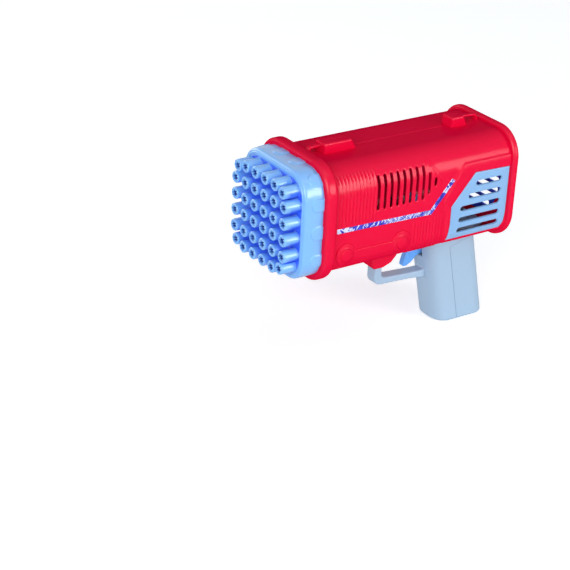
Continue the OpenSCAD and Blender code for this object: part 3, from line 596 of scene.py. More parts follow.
def skirtSkin(n, count=560):
    # the head's wall: a profile (inset, depth) carried round the head section, raised in D shapes by the pads
    sec = layout["headSec"]
    y, z, ny, nz = loopSection(count, sec)
    back = np.linspace(n["skirtEnd"], n["faceDepth"] + n["edgeRound"] + 0.3, 30)
    cut, rise = 1 - np.cos(quarter(7)), 1 - np.sin(quarter(7))
    front = np.stack([-n["edgeRound"] * cut, n["faceDepth"] + n["edgeRound"] * rise], 1)
    u, d = np.concatenate([np.stack([0 * back, back], 1), front, n["lip"], n["inside"]]).T[:, :, None]
    low, high = sectionEnds(sec)
    shoulder = sideLine(sec[1] - 0.293 * sec[3], sec)  # halfway round the upper corner
    lift = np.zeros((len(u), count))
    for at in (*n["padLines"], shoulder, high - n["padEnd"], low + n["padEnd"]):
        shape = np.hypot(np.minimum(d - n["padCentre"], 0), loopLine(count, sec)[0] - at) - n["padHalf"]
        lift = np.maximum(lift, n["padUp"] * (1 - ease(shape, -0.45, 0.25)))
    u = u + lift * ((d > n["padFrom"]) & (u > -0.5))
    return ringSkin(place(d, y + u * ny, z + u * nz))


def facePlateSkin(n, ys, hs):
    # front plate: a flat grid cut to the head section, with a round hole under every tube
    hw, top = (k - n["faceIn"] for k in layout["headSec"][:2])
    y, h = np.meshgrid(np.linspace(-hw, hw, 90), np.linspace(-top, top, 92), indexing="ij")

    def holeDistance(a, b):
        return np.min([np.hypot(a - p, b - q) for p, q in zip(ys, hs)], 0) - n["groove"] - n["holeRoom"]

    y, h = snapTo(y, h, holeDistance, 0.46)
    a, b, r = quadMiddle(y), quadMiddle(h), n["faceRound"]
    edge = np.hypot(np.maximum(np.abs(a) - hw + r, 0), np.maximum(np.abs(b) - top + r, 0)) - r
    keep = (holeDistance(a, b) > 0) & (edge < 0.4)
    return wallSkin(place(n["faceDepth"], y, h), place(n["faceDepth"] + n["faceThick"], y, h), keep)


tubes, tubeY, tubeH = tubeSkins(nozzle)
spigot = ringSweep(layout["caseSec"], nozzle["spigot"], 200)
shelf = ringSweep(layout["headSec"], nozzle["shelf"], 200)
makePiece("nozzleHead", [skirtSkin(nozzle), facePlateSkin(nozzle, tubeY, tubeH), spigot, shelf] + tubes,
          "skyNozzle", "housing", ["nozzle_head"])

# collar between head and casing, and the cap at the back
collar = dict(start=30.5, end=41.0, up=4.9, edge=3.0, foot=-0.1)


def beadProfile(start, end, up, edge, foot):
    # closed profile of a bead: quarter rounds on both outer edges, straight foot inwards
    a = quarter(8)
    front = np.stack([up - edge + edge * np.sin(a), start + edge - edge * np.cos(a)], 1)
    back = np.stack([up - edge + edge * np.cos(a), end - edge + edge * np.sin(a)], 1)
    return np.concatenate([[(foot, start)], front, back, [(foot, end)]])


makePiece("frontCollar", [ringSweep(layout["headSec"], beadProfile(**collar), 360)],
          "redCasing", "housing", ["front_collar"])

rearCap = dict(
    bead=dict(start=212.0, end=218.0, up=3.0, edge=2.4, foot=-3.6),
    plateFront=212.9, plateBack=216.2, plateInset=-1.6, seat=34.7, seatDepth=214.0, hole=32.9, centre=-1.2,
    spigot=((-2.7, 209.4), (-2.7, 213.5), (-4.5, 213.5), (-4.5, 209.4)),
)


def coverSkin(c, count=300):
    # back cover: rings from the casing section inwards, round rim first, then circles of the grille's seat
    y, z, ny, nz = loopSection(count, layout["caseSec"])
    a = np.arctan2(z - c["centre"], y)
    front, back, seat, bed, hole = (c[k] for k in ("plateFront", "plateBack", "seat", "seatDepth", "hole"))
    inset, depth = edgeRings(front, back, 0.4, 0.8)
    rings = [place(d, y + u * ny, z + u * nz) for u, d in zip(c["plateInset"] - inset, depth)]
    circles = ((seat + 0.6, back), (seat + 0.15, back - 0.15), (seat, back - 0.6), (seat, bed), (hole, bed),
               (hole, front))
    rings += [place(d, r * np.cos(a), c["centre"] + r * np.sin(a)) for r, d in circles]
    return ringSkin(np.stack(rings))


capBead = ringSweep(layout["capSec"], beadProfile(**rearCap["bead"]), 360)
capSpigot = ringSweep(layout["caseSec"], rearCap["spigot"], 200)
makePiece("rearCap", [capBead, coverSkin(rearCap), capSpigot],
          "redCasing", "housing", ["rear_cap"])

# air grille in the cap
grille = dict(front=214.05, back=215.85, radius=34.6, centre=-1.2, pitch=7.8, slotHalf=2.5, rim=2.2,
              step=0.72, edge=0.45, rows=(-2.95, -2.5, -2.0, -1.25, 0.0, 1.25, 2.0, 2.5, 2.95))


def grilleSkin(g):
    # disc on a flat grid whose rows follow seven level slots with round ends; edges slide onto the outlines
    level = np.arange(-3, 4) * g["pitch"]
    half = np.sqrt((g["radius"] - g["rim"]) ** 2 - level ** 2) - 2 * g["slotHalf"]
    ends = [-g["radius"], g["radius"]]
    rows = gridLines(np.concatenate([(level[:, None] + np.array(g["rows"])).ravel(), ends]), [], g["step"])
    y, h = np.meshgrid(gridLines(ends + [0.0], [], g["step"]), rows, indexing="ij")

    def solid(a, b):  # positive in the disc, negative outside it and in its slots
        slots = [barDistance(a, b - q, -k, k, g["slotHalf"]) for q, k in zip(level, half)]
        return np.minimum(g["radius"] - np.hypot(a, b), np.min(slots, 0))

    y, h = snapTo(*snapTo(y, h, solid, 0.36), solid, 0.1)
    keep = solid(quadMiddle(y), quadMiddle(h)) > 0
    drop = quarterDrop(solid(y, h), g["edge"])
    return wallSkin(*(place(d, y, h + g["centre"]) for d in (g["back"] - drop, g["front"])), keep)


# the grille's finish is sky-blue plastic painted deeper blue, as painted shade
makePiece("rearGrille", [grilleSkin(grille)], "skyGrillePaintedShade", "housing", ["rear_grille"])

# casing halves
casing = dict(
    ribs=(dict(up=0.5, start=44.1, step=3.2, count=12, low=-1.5, lowSoft=0.6, high=38.6, highSoft=0.8),
          dict(up=0.4, start=118.1, step=3.0, count=10, low=-51.0, lowSoft=0.8, high=-12.5, highSoft=0.6)),
    ribHalf=(0.3, 0.95), slotStart=82.05, slotStep=6.13, slotCount=8, slotRadius=1.38, slotLow=6.3,
    slotHigh=32.0, shortSlots=((130.8, 10.4, 25.7), (136.9, 16.1, 20.3)), holeEdge=0.35, ventThin=1.2,
    vents=((75.5, 78.5), (140.0, 143.0), (1.0, 4.0), (36.0, 39.0)),  # where the wall round the slots thins
    triggerSlot=(150.75, 9.75, 5.0), gripNeck=(185.0, 18.5, 13.0),  # middle, half length, half width
    ledge=((126.6, 39.5), (127.7, 37.4), (130.5, 32.3), (135.7, 25.5), (142.6, 18.0), (137.0, 7.5)),
    ledgeProfile=((0.0, -0.6), (0.0, 0.28), (0.12, 0.36), (0.5, 0.36), (4.5, -0.05), (4.5, -0.6)),
    discs=((53.4, -26.0), (106.6, -26.5)),
    discRings=((0.3, 2.0), (4.4, 2.0), (4.9, 1.85), (5.15, 1.5), (5.2, 1.0), (5.35, 0.9), (8.5, 0.9),
               (9.0, 0.75), (9.25, 0.4), (9.3, 0.0), (9.3, -1.5)),
    bar=((54.0, 106.0), (-23.5, -24.0), (-31.5, -32.0)), barUp=0.84, barEdge=0.6, barFoot=-1.2,
    frame=((164.5, 28.0), (214.0, 28.0), (214.0, -39.0), (150.5, -39.0), (150.5, -10.0), (146.5, 0.0),
           (161.0, 21.5)), frameUp=0.8, frameSoft=(-0.8, 0.5),
    panel=((176.0, 19.0), (211.4, 18.0), (211.4, -23.0), (210.0, -31.0), (207.4, -36.0), (152.0, -36.0),
           (154.0, -22.0), (154.0, -6.7)),
    lugs=((54.5, 80.0, 5.4, 1, 13.4), (178.4, 190.4, 4.0, -1, 18.6)), lugFoot=42.0, lugTop=51.4,
    bracket=((105, -41), (107, -64), (109, -66.5), (118, -66.5), (126, -63.5), (131, -58), (134, -50),
             (135, -41)),
    bracketRounds=(0.1, 3, 2.5, 6, 6, 6, 6, 0.1), bracketScrew=(123.0, -55.0), bracketHalf=9.0,
    bracketWell=((3.2, 9.0), (2.9, 8.7), (2.9, 5.0)),
    screws=((80.0, 37.0), (142.0, 35.5), (198.0, 35.5), (80.0, -34.5)), screwWell=2.95,
    leftPost=((1.2, 0.1), (3.4, 0.1), (3.4, None), (1.2, None)),
    rightPost=((1.6, 0.1), (3.4, 0.1), (3.4, None), (2.9, None), (2.9, 6.4), (1.6, 6.4)), postUnder=1.2,
    cheek=((130.5, -42.0), (130.5, -26.0), (155.5, -26.0), (155.5, -42.0)), bed=(1.35, 2.3), bedRoom=0.4,
    seamDip=0.3, step=1.45,
)


def onSide(corners):  # outline corners with heights turned into arc length
    return [(d, sideLine(h)) for d, h in corners]


framePath, panelPath = onSide(casing["frame"]), onSide(casing["panel"])
caseLow, caseHigh = sectionEnds(layout["caseSec"])
panelTop, panelBend, panelFoot, frameTop, frameFoot = 19.0, *sideLine([-31.0, -36.0, 28.0, -39.0])
# depth of the frame's front edge, the panel's front edge and its back edge, by arc length
frameFront = ((frameFoot, -10.0, 0.0, 21.5, frameTop, caseHigh), (150.5, 150.5, 146.5, 161.0, 164.5, 150.5))
panelFront = ((caseLow + 14, panelFoot, -22.0, -6.7, panelTop, caseHigh),
              (160.5, 152.0, 154.0, 154.0, 176.0, 160.0))
panelBack = ((caseLow + 30, panelFoot, panelBend, -23.0), (211.4, 207.4, 210.0, 211.4))
# base columns that follow those edges, and those that land on the ends of the trigger slot and the grip neck
caseKnots = (33.2, 145.0, 148.2, 149.0, 149.8, 158.8, 159.6, 160.0, 211.4, 211.8, 212.6)
caseColumns = (43.0, 141.0, 166.06, 203.42)


def bentColumns(base, knots, targets):
    # columns bent so that each knot follows its own target line: hat functions of the base times the targets
    hats = np.stack([np.interp(base, knots, row) for row in np.eye(len(knots))])
    return np.einsum("ki,kj->ij", hats, np.stack(np.broadcast_arrays(*targets)))


def panelTopSlope(d, s, reach=6.0):  # lowers the rows near the panel's top edge, which falls by 1 in 35.4
    return s - np.clip((d - 176.0) / 35.4, 0, 1.1) * np.clip(1 - np.abs(s - panelTop) / reach, 0, 1)


def casingHoles(d, s, screwHoles):
    # distance to the nearest opening: air slots, panel window, trigger slot, grip neck, screw wells
    c = casing
    k = np.clip(np.round((d - c["slotStart"]) / c["slotStep"]), 0, c["slotCount"] - 1)
    slots = ((c["slotStart"] + k * c["slotStep"], c["slotLow"], c["slotHigh"]), *c["shortSlots"])
    f = [barDistance(s, d - x, low, sideLine(high), c["slotRadius"]) for x, low, high in slots]
    f.append(polyDistance(d, s, panelPath))
    f += [np.maximum(np.abs(d - x) - a, s - caseLow - b) for x, a, b in (c["triggerSlot"], c["gripNeck"])]
    if screwHoles:
        h = halfSection(s, layout["caseSec"])[1]
        f += [np.hypot(d - x, h - q) - c["screwWell"] for x, q in c["screws"]]
    return np.min(f, 0)


def casingRise(d, s):
    # height of the casing's skin over its plain section, as a sum of soft-edged steps
    rise = casing["frameUp"] * (1 - ease(polyDistance(d, s, framePath), *casing["frameSoft"]))
    for r in casing["ribs"]:
        k = np.clip(np.round((d - r["start"]) / r["step"]), 0, r["count"] - 1)
        comb = 1 - ease(np.abs(d - r["start"] - k * r["step"]), *casing["ribHalf"])
        foot = ease(s, r["low"] - r["lowSoft"], r["low"] + r["lowSoft"])
        head = 1 - ease(s, r["high"] - r["highSoft"], r["high"] + r["highSoft"])
        rise = rise + r["up"] * comb * foot * head
    seam = np.minimum(caseHigh - s, s - caseLow)
    return rise - casing["seamDip"] * (1 - ease(seam, 0.0, 0.6))


def casingLines():
    # depths and arc lengths of the casing's grid: lines on every opening and its rim, the ribs and the frame
    c = casing
    rim = np.array([c["slotRadius"] + c["holeEdge"], c["slotRadius"], 0.7, 0.0])
    mid = c["slotStart"] + c["slotStep"] * np.arange(c["slotCount"])
    mid = np.append(mid, [k[0] for k in c["shortSlots"]])[:, None]
    hardD = np.concatenate([caseKnots, caseColumns, (mid - rim).ravel(), (mid + rim).ravel()])
    narrow, wide = c["ribHalf"]
    softD = [r["start"] + r["step"] * k + x for r in c["ribs"] for k in range(r["count"])
             for x in (-wide, -narrow, narrow, wide)]
    lows, highs = np.array([(c["slotLow"], c["slotHigh"])] + [k[1:] for k in c["shortSlots"]]).T[:, :, None]
    inner, outer = c["frameSoft"]
    hardS = np.concatenate([
        caseHigh - np.array([0, 0.35, 0.7]), caseLow + np.array([0, 0.35, 0.7, 5.0, 13.0]),
        (lows - rim).ravel(), (sideLine(highs) + rim).ravel(), [21.5, 0.0, -6.7, -10.0, -22.0, -23.0],
        [panelTop, panelTop + 0.4, panelBend, panelFoot, panelFoot - 0.4],
        frameTop + np.array([inner, 0, outer]), frameFoot - np.array([inner, 0, outer])])
    softS = [r[end] + way * r[end + "Soft"] for r in c["ribs"] for end in ("low", "high") for way in (-1, 1)]
    return gridLines(hardD, softD, c["step"]), gridLines(hardS, softS, c["step"])


def casingSkin(side, screwHoles):
    # the casing half is a grid of depth by arc length: section point plus rise along its normal, with holes
    base, s = casingLines()
    front, panel, back = (np.interp(s, *line) for line in (frameFront, panelFront, panelBack))
    start, end = layout["caseStart"], layout["caseEnd"]
    d = bentColumns(base, caseKnots, [start, 145.0, front - 0.5, front, front + 0.8, panel - 0.9,
                                      panel - 0.35, panel, back, 0.5 * back + 106.0, end])
    holes = lambda a, b: casingHoles(a, b, screwHoles)
    d, s = snapTo(d, panelTopSlope(d, np.broadcast_to(s, d.shape)), holes, 0.34)
    d, s = np.clip(d, start, end), np.clip(s, caseLow, caseHigh)
    keep = holes(quadMiddle(d), quadMiddle(s)) > 0
    up = casingRise(d, s) - quarterDrop(holes(d, s), casing["holeEdge"])
    near, far, low, high = casing["vents"]
    vents = ease(d, *near) * (1 - ease(d, *far)) * ease(s, *low) * (1 - ease(s, *high))
    wall = layout["wall"] - casing["ventThin"] * vents  # thinner wall round the air slots
    return wallSkin(*(onCase(d, s, rise, side, layout["seamGap"]) for rise in (up, -wall)), keep)


def discSkin(side, d0, h0, count=72):
    # raised disc with its hub: circles laid on the section, each lifted along the normal by its own rise
    r, rise = np.array(casing["discRings"]).T[:, :, None]
    a = circle(count)
    return capped(onCase(d0 + r * np.cos(a), sideLine(h0) + r * np.sin(a), rise, side))


def barSkin(side):
    # raised bar between the discs: a round-edged cross profile laid on the section, carried along its slope
    d, top, foot = (np.linspace(*ends, 24)[:, None] for ends in casing["bar"])
    up, edge, low, t = casing["barUp"], casing["barEdge"], casing["barFoot"], quarter(5)
    run, lift = edge * (1 - np.cos(t)), up - edge + edge * np.sin(t)
    share = np.concatenate([np.zeros(6), np.linspace(0.1, 0.9, 9), np.ones(6)])
    shift = np.concatenate([[0], run, np.zeros(9), -run[::-1], [0]])
    rise = np.concatenate([[low], lift, np.full(9, up), lift[::-1], [low]])
    sTop, sFoot = sideLine(top), sideLine(foot)
    return capped(onCase(d, sFoot + (sTop - sFoot) * share + shift, rise, side))


def ledgeSkin(side):
    # arrow-shaped ledge behind the air slots: a wedge profile carried along its line, thin at both ends
    line = np.array(casing["ledge"])
    last = len(line) - 1
    t = np.linspace(0, last, 49)
    path = np.stack([np.interp(t, np.arange(last + 1), k) for k in line.T])
    way = np.gradient(path, axis=1)
    (d, s), (wd, ws) = path[..., None], (way / np.linalg.norm(way, axis=0))[..., None]
    off, rise = np.array(casing["ledgeProfile"]).T
    thin = (ease(t, 0.0, 0.8) * (1 - ease(t, last - 0.9, last)))[:, None]
    rise = np.where(rise > -0.1, rise * thin - 0.25 * (1 - thin), rise)
    return capped(onCase(d - ws * off, s + wd * off, rise, side))


def lugSkins(side, d0, d1, base, way, reach):
    # strap lug: a block with slanted ends, and a flat arch that springs from it back down to the casing
    gap, foot, top, a = layout["seamGap"], casing["lugFoot"], casing["lugTop"], d0 if way > 0 else d1
    block = [(d0 - 0.5, foot), (d0, top), (d1, top), (d1 + base, foot)]
    arch = [(reach, foot), (reach - 0.2, 46), (reach - 2.9, 49.4), (-1, 50.2), (-1, 48.2),
            (reach - 4.3, 47.55), (reach - 2.4, 45.2), (reach - 2.4, foot)]
    archRounds = [0.1, 2.5, 2.5, 0.1, 0.1, 1.6, 1.6, 0.1]
    return sided([acrossBar(block, [0.1, 1.4, 1.4, 0.1], gap, 6.6, 0.1, 1.3),
                  acrossBar([(a - way * x, h) for x, h in arch], archRounds, gap, 2.0, 0.05, 0.6)], side)


def bracketSkins(side):
    # half of the trigger guard's bracket: a round-rimmed bar, with a screw well on the right side
    inset, y = edgeRings(layout["seamGap"], casing["bracketHalf"], 0.1, 1.6)
    lines = [roundOutline(casing["bracket"], casing["bracketRounds"], inset=k) for k in inset]
    d, h = np.stack(lines).transpose(2, 0, 1)
    if side < 0:
        x0, h0 = casing["bracketScrew"]
        a = np.arctan2(h[-1] - h0, d[-1] - x0)
        r, depth = np.array(casing["bracketWell"]).T
        d = np.concatenate([d, x0 + r[:, None] * np.cos(a)])
        h = np.concatenate([h, h0 + r[:, None] * np.sin(a)])
        y = np.concatenate([y, depth])
    return sided([capped(place(d, y[:, None], h))], side)


def postSkin(d0, h0, profile, count=40):
    # screw post across the casing: rings of a (radius, y) profile; those at None end under the casing's skin
    a = circle(count)
    rings = []
    for r, y in profile:
        h = h0 + r * np.sin(a)
        under = halfSection(sideLine(h), layout["caseSec"])[0] - casing["postUnder"]
        rings.append(place(d0 + r * np.cos(a), under if y is None else y, h))
    return ringSkin(np.stack(rings))


def innerSkins(side):
    # posts for the screws, the right ones open to the screw heads, and the cheek beside the trigger
    profile = casing["leftPost"] if side > 0 else casing["rightPost"]
    cheek = acrossBar(casing["cheek"], 0.8, 5.2, 7.8, 0.3, 0.3)
    return sided([cheek] + [postSkin(d, h, profile) for d, h in casing["screws"]], side)


def bedSkin(side):
    # wall behind the far panel: a thin sheet on the section, a little wider than the panel
    room = casing["bedRoom"]
    rows = np.linspace(panelFoot - room, panelTop + room, 60)
    t = np.linspace(0, 1, 44)[:, None]
    d = (np.interp(rows, *panelFront) - room) * (1 - t) + (np.interp(rows, *panelBack) + room) * t
    s = panelTopSlope(d, np.broadcast_to(rows, d.shape))
    return wallSkin(*(onCase(d, s, -k, side) for k in casing["bed"]), np.ones(quadMiddle(d).shape, bool))


for name, side, node in (("leftShell", 1, "left_shell"), ("rightShell", -1, "right_shell")):
    skins = [casingSkin(side, side < 0), barSkin(side), ledgeSkin(side)]
    skins += [discSkin(side, *at) for at in casing["discs"]]
    skins += [k for lug in casing["lugs"] for k in lugSkins(side, *lug)]
    skins += bracketSkins(side) + innerSkins(side)
    skins += [bedSkin(side)] if side < 0 else []
    makePiece(name, skins, "redCasing", "housing", [node])

# side panels
panelSet = dict(
    gap=0.15, up=0.7, under=-1.2, edge=0.9, rim=(0, 0.2, 0.5, 0.9, 1.4), step=1.3, blindFloor=0.6,
    slots=((180.0, 9.0), (173.5, -1.0), (166.0, -10.6), (165.0, -20.1), (164.0, -29.0)),  # front end, height
    slotEnd=202.0, slotHalf=2.1, slotEdge=0.6, slotRows=(2.9, 2.5, 2.1, 1.6, 0.8, 0),
    knots=(0, 1.4, 10, 13, 50, 53, 60, 61.4), topFirst=182.5,
)


def panelSkin(side):
    # panel: the casing section raised by one step; columns follow its slanted ends and the slots' ends,
    # rows the slots, which go through on the left and end on a floor on the right
    p, knots = panelSet, panelSet["knots"]
    gap, rim, near = p["gap"], np.array(p["rim"]), np.array(p["slotRows"])
    start, height = np.array(p["slots"]).T
    level = sideLine(height)
    around = (level[:, None] + np.concatenate([-near, near])).ravel()
    corners = [-6.7, -22.0, -23.0, panelBend]
    rows = np.concatenate([panelTop - gap - rim, panelFoot + gap + rim, corners, around])
    rows = gridLines(rows, [], p["step"])
    front, back = np.interp(rows, *panelFront) + gap, np.interp(rows, *panelBack) - gap
    spots = np.concatenate([level - near[0], level + near[0]])
    order = np.argsort(spots)
    first = np.append(np.tile(start, 2)[order], p["topFirst"])
    first = np.interp(rows, np.append(spots[order], panelTop), first)
    base = gridLines(np.concatenate([rim, knots[3] - near, knots[4] + near, knots[-1] - rim]), [], p["step"])
    d = bentColumns(base, knots, [front, front + rim[-1], first - 3.0, first, p["slotEnd"],
                                  p["slotEnd"] + 3.0, back - rim[-1], back])
    s = panelTopSlope(d, np.broadcast_to(rows, d.shape))

    def slotsAt(a, b):
        f = [barDistance(a, b - t, x, p["slotEnd"], p["slotHalf"]) for x, t in zip(start, level)]
        return np.min(f, 0)

    d, s = snapTo(d, s, slotsAt, 0.36)
    slots = slotsAt(d, s)
    up = p["up"] - quarterDrop(-polyDistance(d, s, panelPath) - gap, p["edge"])
    up = np.where(slots < -0.05, -p["blindFloor"], up - quarterDrop(slots, p["slotEdge"]))
    keep = (slotsAt(quadMiddle(d), quadMiddle(s)) > 0) | (side < 0)
    return wallSkin(*(onCase(d, s, rise, side) for rise in (up, p["under"])), keep)


stripeSet = dict(
    corners=((44.12, -3.12), (133.3, -5.12), (152.72, 17.88), (156.08, 15.52), (134.7, -9.08),
             (44.12, -7.08)),
    radii=(0.3, 2.0, 0.3, 0.3, 2.0, 0.3), y0=42.9, y1=43.28, edge0=0, edge1=0.08, steps=2,
)
for side, word in ((1, "left"), (-1, "right")):
    makePiece(word + "Panel", [panelSkin(side)], "palePanel", "housing", [word + "_panel"])
    makePiece(word + "Stripe", sided([acrossBar(**stripeSet)], side),
              "chipStripe", "housing", [word + "_stripe"])

# grip: u runs forwards across its lean, s up along it
grip = dict(
    d0=191.0, h0=-71.0, lean=math.radians(12), halfDepth=21.5, halfWidth=17.5, front=(28.4, 13.0),
    neck=(21.5, 15.0), backRound=12.0, wall=2.2, topWall=4.8, seam=9.5, seamGap=0.35,
    doorTop=16.0, doorGap=0.2,
    top=-43.15, bottomRound=2.4, floor=-49.9, floorIn=1.6, ground=0.02, slot=(4.0, -70.8), slotFrom=15.0,
    neckIn=(2.6, 4.8), neckFoot=-45.0, neckTop=-33.0, flangeFoot=-40.4, flangeTop=-37.6,
    flange=((163, -28), (163, 28), (208.6, 28), (208.6, -28)), flangeRounds=(1.0, 1.0, 14.0, 14.0),
    flangeHole=((166.5, -14), (166.5, 14), (204.0, 14), (204.0, -14)), flangeHoleRound=11.0,
    guard=((112, -58), (112, -83.4), (150, -85.2), (165, -87), (172, -89), (172, -70), (164.6, -74.2),
           (163.4, -79.9), (150, -79.3), (119.5, -77.3), (119.5, -58)),
    guardRounds=(0.2, 7, 60, 20, 0.2, 0.2, 6, 4.2, 60, 3.5, 0.2), guardHalf=5.5, guardEdge=1.5,
    nose=(4.0, 2.0, 0.0, -2.0, -4.0), screw=-44.0, screwHole=3.1,
    cup=((3.1, -21.1), (3.1, -19.6), (1.7, -19.6), (1.7, -17.1), (4.2, -17.1), (4.2, -20.4)),
)


def gripPlace(u, y, s):
    c, k = math.cos(grip["lean"]), math.sin(grip["lean"])
    return place(grip["d0"] - u * c - s * k, y, grip["h0"] - u * k + s * c)


def gripHeight(u, h):  # place along the grip of a level plane at height h
    return (h - grip["h0"] + u * math.sin(grip["lean"])) / math.cos(grip["lean"])


def gripGround(u):  # place along the grip just over the ground
    return gripHeight(u, grip["ground"] - layout["axisZ"])


def gripOutline(part, nose="front"):
    # outline of the grip in u and y, cut at the seam: the front part, the back part, or all of it
    g = grip
    t = quarter(15)
    hd, hw, rb = g["halfDepth"], g["halfWidth"], g["backRound"]
    hf, rf = g[nose]
    seam = g["seam"] if part != "back" else g["seam"] - g["seamGap"]
    frontArc = np.stack([hf - rf + rf * np.sin(t), hw - rf + rf * np.cos(t)], 1)
    frontArc = frontArc[frontArc[:, 0] > seam + 0.05]
    backArc = np.stack([rb - hd - rb * np.cos(t), rb - hw - rb * np.sin(t)], 1)
    line = lambda a, b, k: np.linspace(a, b, k + 2)[1:-1]
    left, right = (seam, hw), (seam, -hw)
    tip = [(hf, y) for y in g["nose"] if abs(y) < hw - rf - 0.1]
    front = np.concatenate([[left], frontArc, tip, (frontArc * (1, -1))[::-1], [right]])
    back = np.concatenate([[right], line(right, (rb - hd, -hw), 18), backArc[::-1],
                           line((-hd, rb - hw), (-hd, hw - rb), 16), backArc * (1, -1),
                           line((rb - hd, hw), left, 18), [left]])
    return {"front": front, "back": back, "all": np.concatenate([front, back[1:-1]])}[part]


def gripNormals(p):  # inward normals of an open grip outline
    t = np.gradient(p, axis=0)
    n = np.stack([t[:, 1], -t[:, 0]], 1) / np.linalg.norm(t, axis=1)[:, None]
    return np.where(((n * -p).sum(1) > 0)[:, None], n, -n)


def gripRows(u, nu, top, count):
    # places along the grip from the round bottom rim up to the top, and how far each ring moves in
    edge, a = grip["bottomRound"], quarter(7)
    inset = edge * (1 - np.sin(a))
    rim = gripHeight(u + inset[:, None] * nu, -layout["axisZ"]) + (edge * (1 - np.cos(a)))[:, None]
    t = np.linspace(0, 1, count)[1:, None]
    return np.concatenate([rim, rim[-1:] * (1 - t) + top * t]), np.concatenate([inset, np.zeros(count - 1)])


def gripFloor(part):
    # closed bottom of one part of the grip: its outline moved in, from the ground up to the floor
    p = gripOutline(part)
    q = p + gripNormals(p) * grip["floorIn"]
    q[0], q[-1] = (p[0, 0], q[1, 1]), (p[-1, 0], q[-2, 1])
    return capped(np.stack([gripPlace(*q.T, gripGround(q[:, 0])), gripPlace(*q.T, grip["floor"])]))


def gripFrameSkins():
    # front of the grip: rows up a closed outline, without the quads behind the seam and under the shoulder
    g = grip
    p = gripOutline("all")
    n = inwards(p)
    s, inset = gripRows(p[:, 0], n[:, 0], g["doorTop"] + g["doorGap"], 26)
    lower = len(s)
    t = np.linspace(0, 1, 6)[1:, None]
    s = np.concatenate([s, s[-1] * (1 - t) + gripHeight(p[:, 0], g["top"]) * t])
    inset = np.concatenate([inset, np.zeros(len(t))])[:, None]
    outer = gripPlace(p[:, 0] + inset * n[:, 0], p[:, 1] + inset * n[:, 1], s)
    thick = np.where(np.arange(len(s)) < lower - 1, g["wall"], g["topWall"])[:, None]
    deep = np.maximum(thick, inset)
    ui = p[:, 0] + deep * n[:, 0]
    inner = gripPlace(ui, p[:, 1] + deep * n[:, 1], np.maximum(s, gripGround(ui)))
    keep = np.ones((len(s) - 1, len(p)), bool)
    keep[:lower - 1, len(gripOutline("front")) - 1:] = False
    height = (outer[..., 2] / mm - layout["axisZ"])[:-1]
    middle = np.abs(p[:, 1] + np.roll(p[:, 1], -1)) < 2 * g["slot"][0]
    keep &= ~(middle & (p[:, 0] > g["slotFrom"]) & (height > g["slot"][1]))  # slot for the trigger's hook
    neckLine = gripOutline("all", "neck")
    a, b = (neckLine + inwards(neckLine) * k for k in g["neckIn"])
    foot, top = g["neckFoot"], g["neckTop"]
    neck = [gripPlace(*q.T, gripHeight(q[:, 0], h)) for q, h in ((a, foot), (a, top), (b, top), (b, foot))]
    rim = roundOutline(g["flange"], g["flangeRounds"])
    hole = roundOutline(g["flangeHole"], g["flangeHoleRound"])
    foot, top = g["flangeFoot"], g["flangeTop"]
    flange = [place(*q.T, h) for q, h in ((rim, foot), (rim, top), (hole, top), (hole, foot))]
    half, edge = g["guardHalf"], g["guardEdge"]
    guard = acrossBar(g["guard"], g["guardRounds"], -half, half, edge, edge)
    return [wallSkin(outer, inner, keep, closeCols=True), gripFloor("front"), ringSkin(np.stack(neck)),
            ringSkin(np.stack(flange)), guard]


def gripDoorSkins():
    # back of the grip: an open wall from seam to seam, with a round hole for the screw low on its back
    g = grip
    p = gripOutline("back")
    n = gripNormals(p)
    s, inset = gripRows(p[:, 0], n[:, 0], g["doorTop"], 74)
    inset = inset[:, None]
    u, y = p[:, 0] + inset * n[:, 0], p[:, 1] + inset * n[:, 1]
    flat = u < -g["halfDepth"] + 0.4
    hole = lambda a, b: np.hypot(a, b - g["screw"]) - g["screwHole"]
    y2, s2 = snapTo(y, s, hole, 0.6)
    y, s = np.where(flat, y2, y), np.where(flat, s2, s)
    keep = quadMiddle(np.where(flat, hole(y, s), 9.0)) > 0
    thick = np.maximum(g["wall"], inset)
    ui, yi = p[:, 0] + thick * n[:, 0], np.where(flat, y, p[:, 1] + thick * n[:, 1])
    wall = wallSkin(gripPlace(u, y, s), gripPlace(ui, yi, np.maximum(s, gripGround(ui))), keep)
    a = circle(40)
    r, depth = np.array(g["cup"]).T[:, :, None]
    return [wall, gripFloor("back"), ringSkin(gripPlace(depth, r * np.cos(a), g["screw"] + r * np.sin(a)))]


makePiece("gripFrame", gripFrameSkins(), "greyGrip", "housing", ["grip_frame"])
makePiece("batteryDoor", gripDoorSkins(), "greyGrip", "door", ["battery_door"])

# trigger
trigger = dict(
    half=2.8, edge=1.1, pivot=(150.0, -34.0),
    outline=((146.4, -36), (148, -48), (147.6, -56), (145.4, -62), (143.4, -67), (142.0, -73.6),
             (146.4, -74.0), (152, -71), (155, -67.6), (158, -65.8), (163.6, -64.5), (162.2, -62.6),
             (160, -60), (158.8, -56), (158.4, -50), (156.6, -44), (154.6, -36)),
    rounds=(0.5, 30, 30, 30, 12, 1.6, 6, 8, 6, 8, 0.7, 2, 6, 12, 20, 20, 0.5),
    arm=((147.4, -36), (147.4, -11), (152.6, -11), (152.6, -36)), armRounds=(0.2, 1.5, 1.5, 0.2),
    hub=((1.56, -4.0), (1.56, 4.0), (4.9, 4.0), (5.4, 3.5), (5.4, -3.5), (4.9, -4.0)),
)
blade = acrossBar(trigger["outline"], trigger["rounds"], -trigger["half"], trigger["half"], trigger["edge"],
                  trigger["edge"])
arm = acrossBar(trigger["arm"], trigger["armRounds"], -4, 4, 0.5, 0.5)
hub = turned(trigger["hub"], *trigger["pivot"])
makePiece("triggerBlade", [blade, arm, hub], "skyTrigger", "trigger_body", ["trigger"])
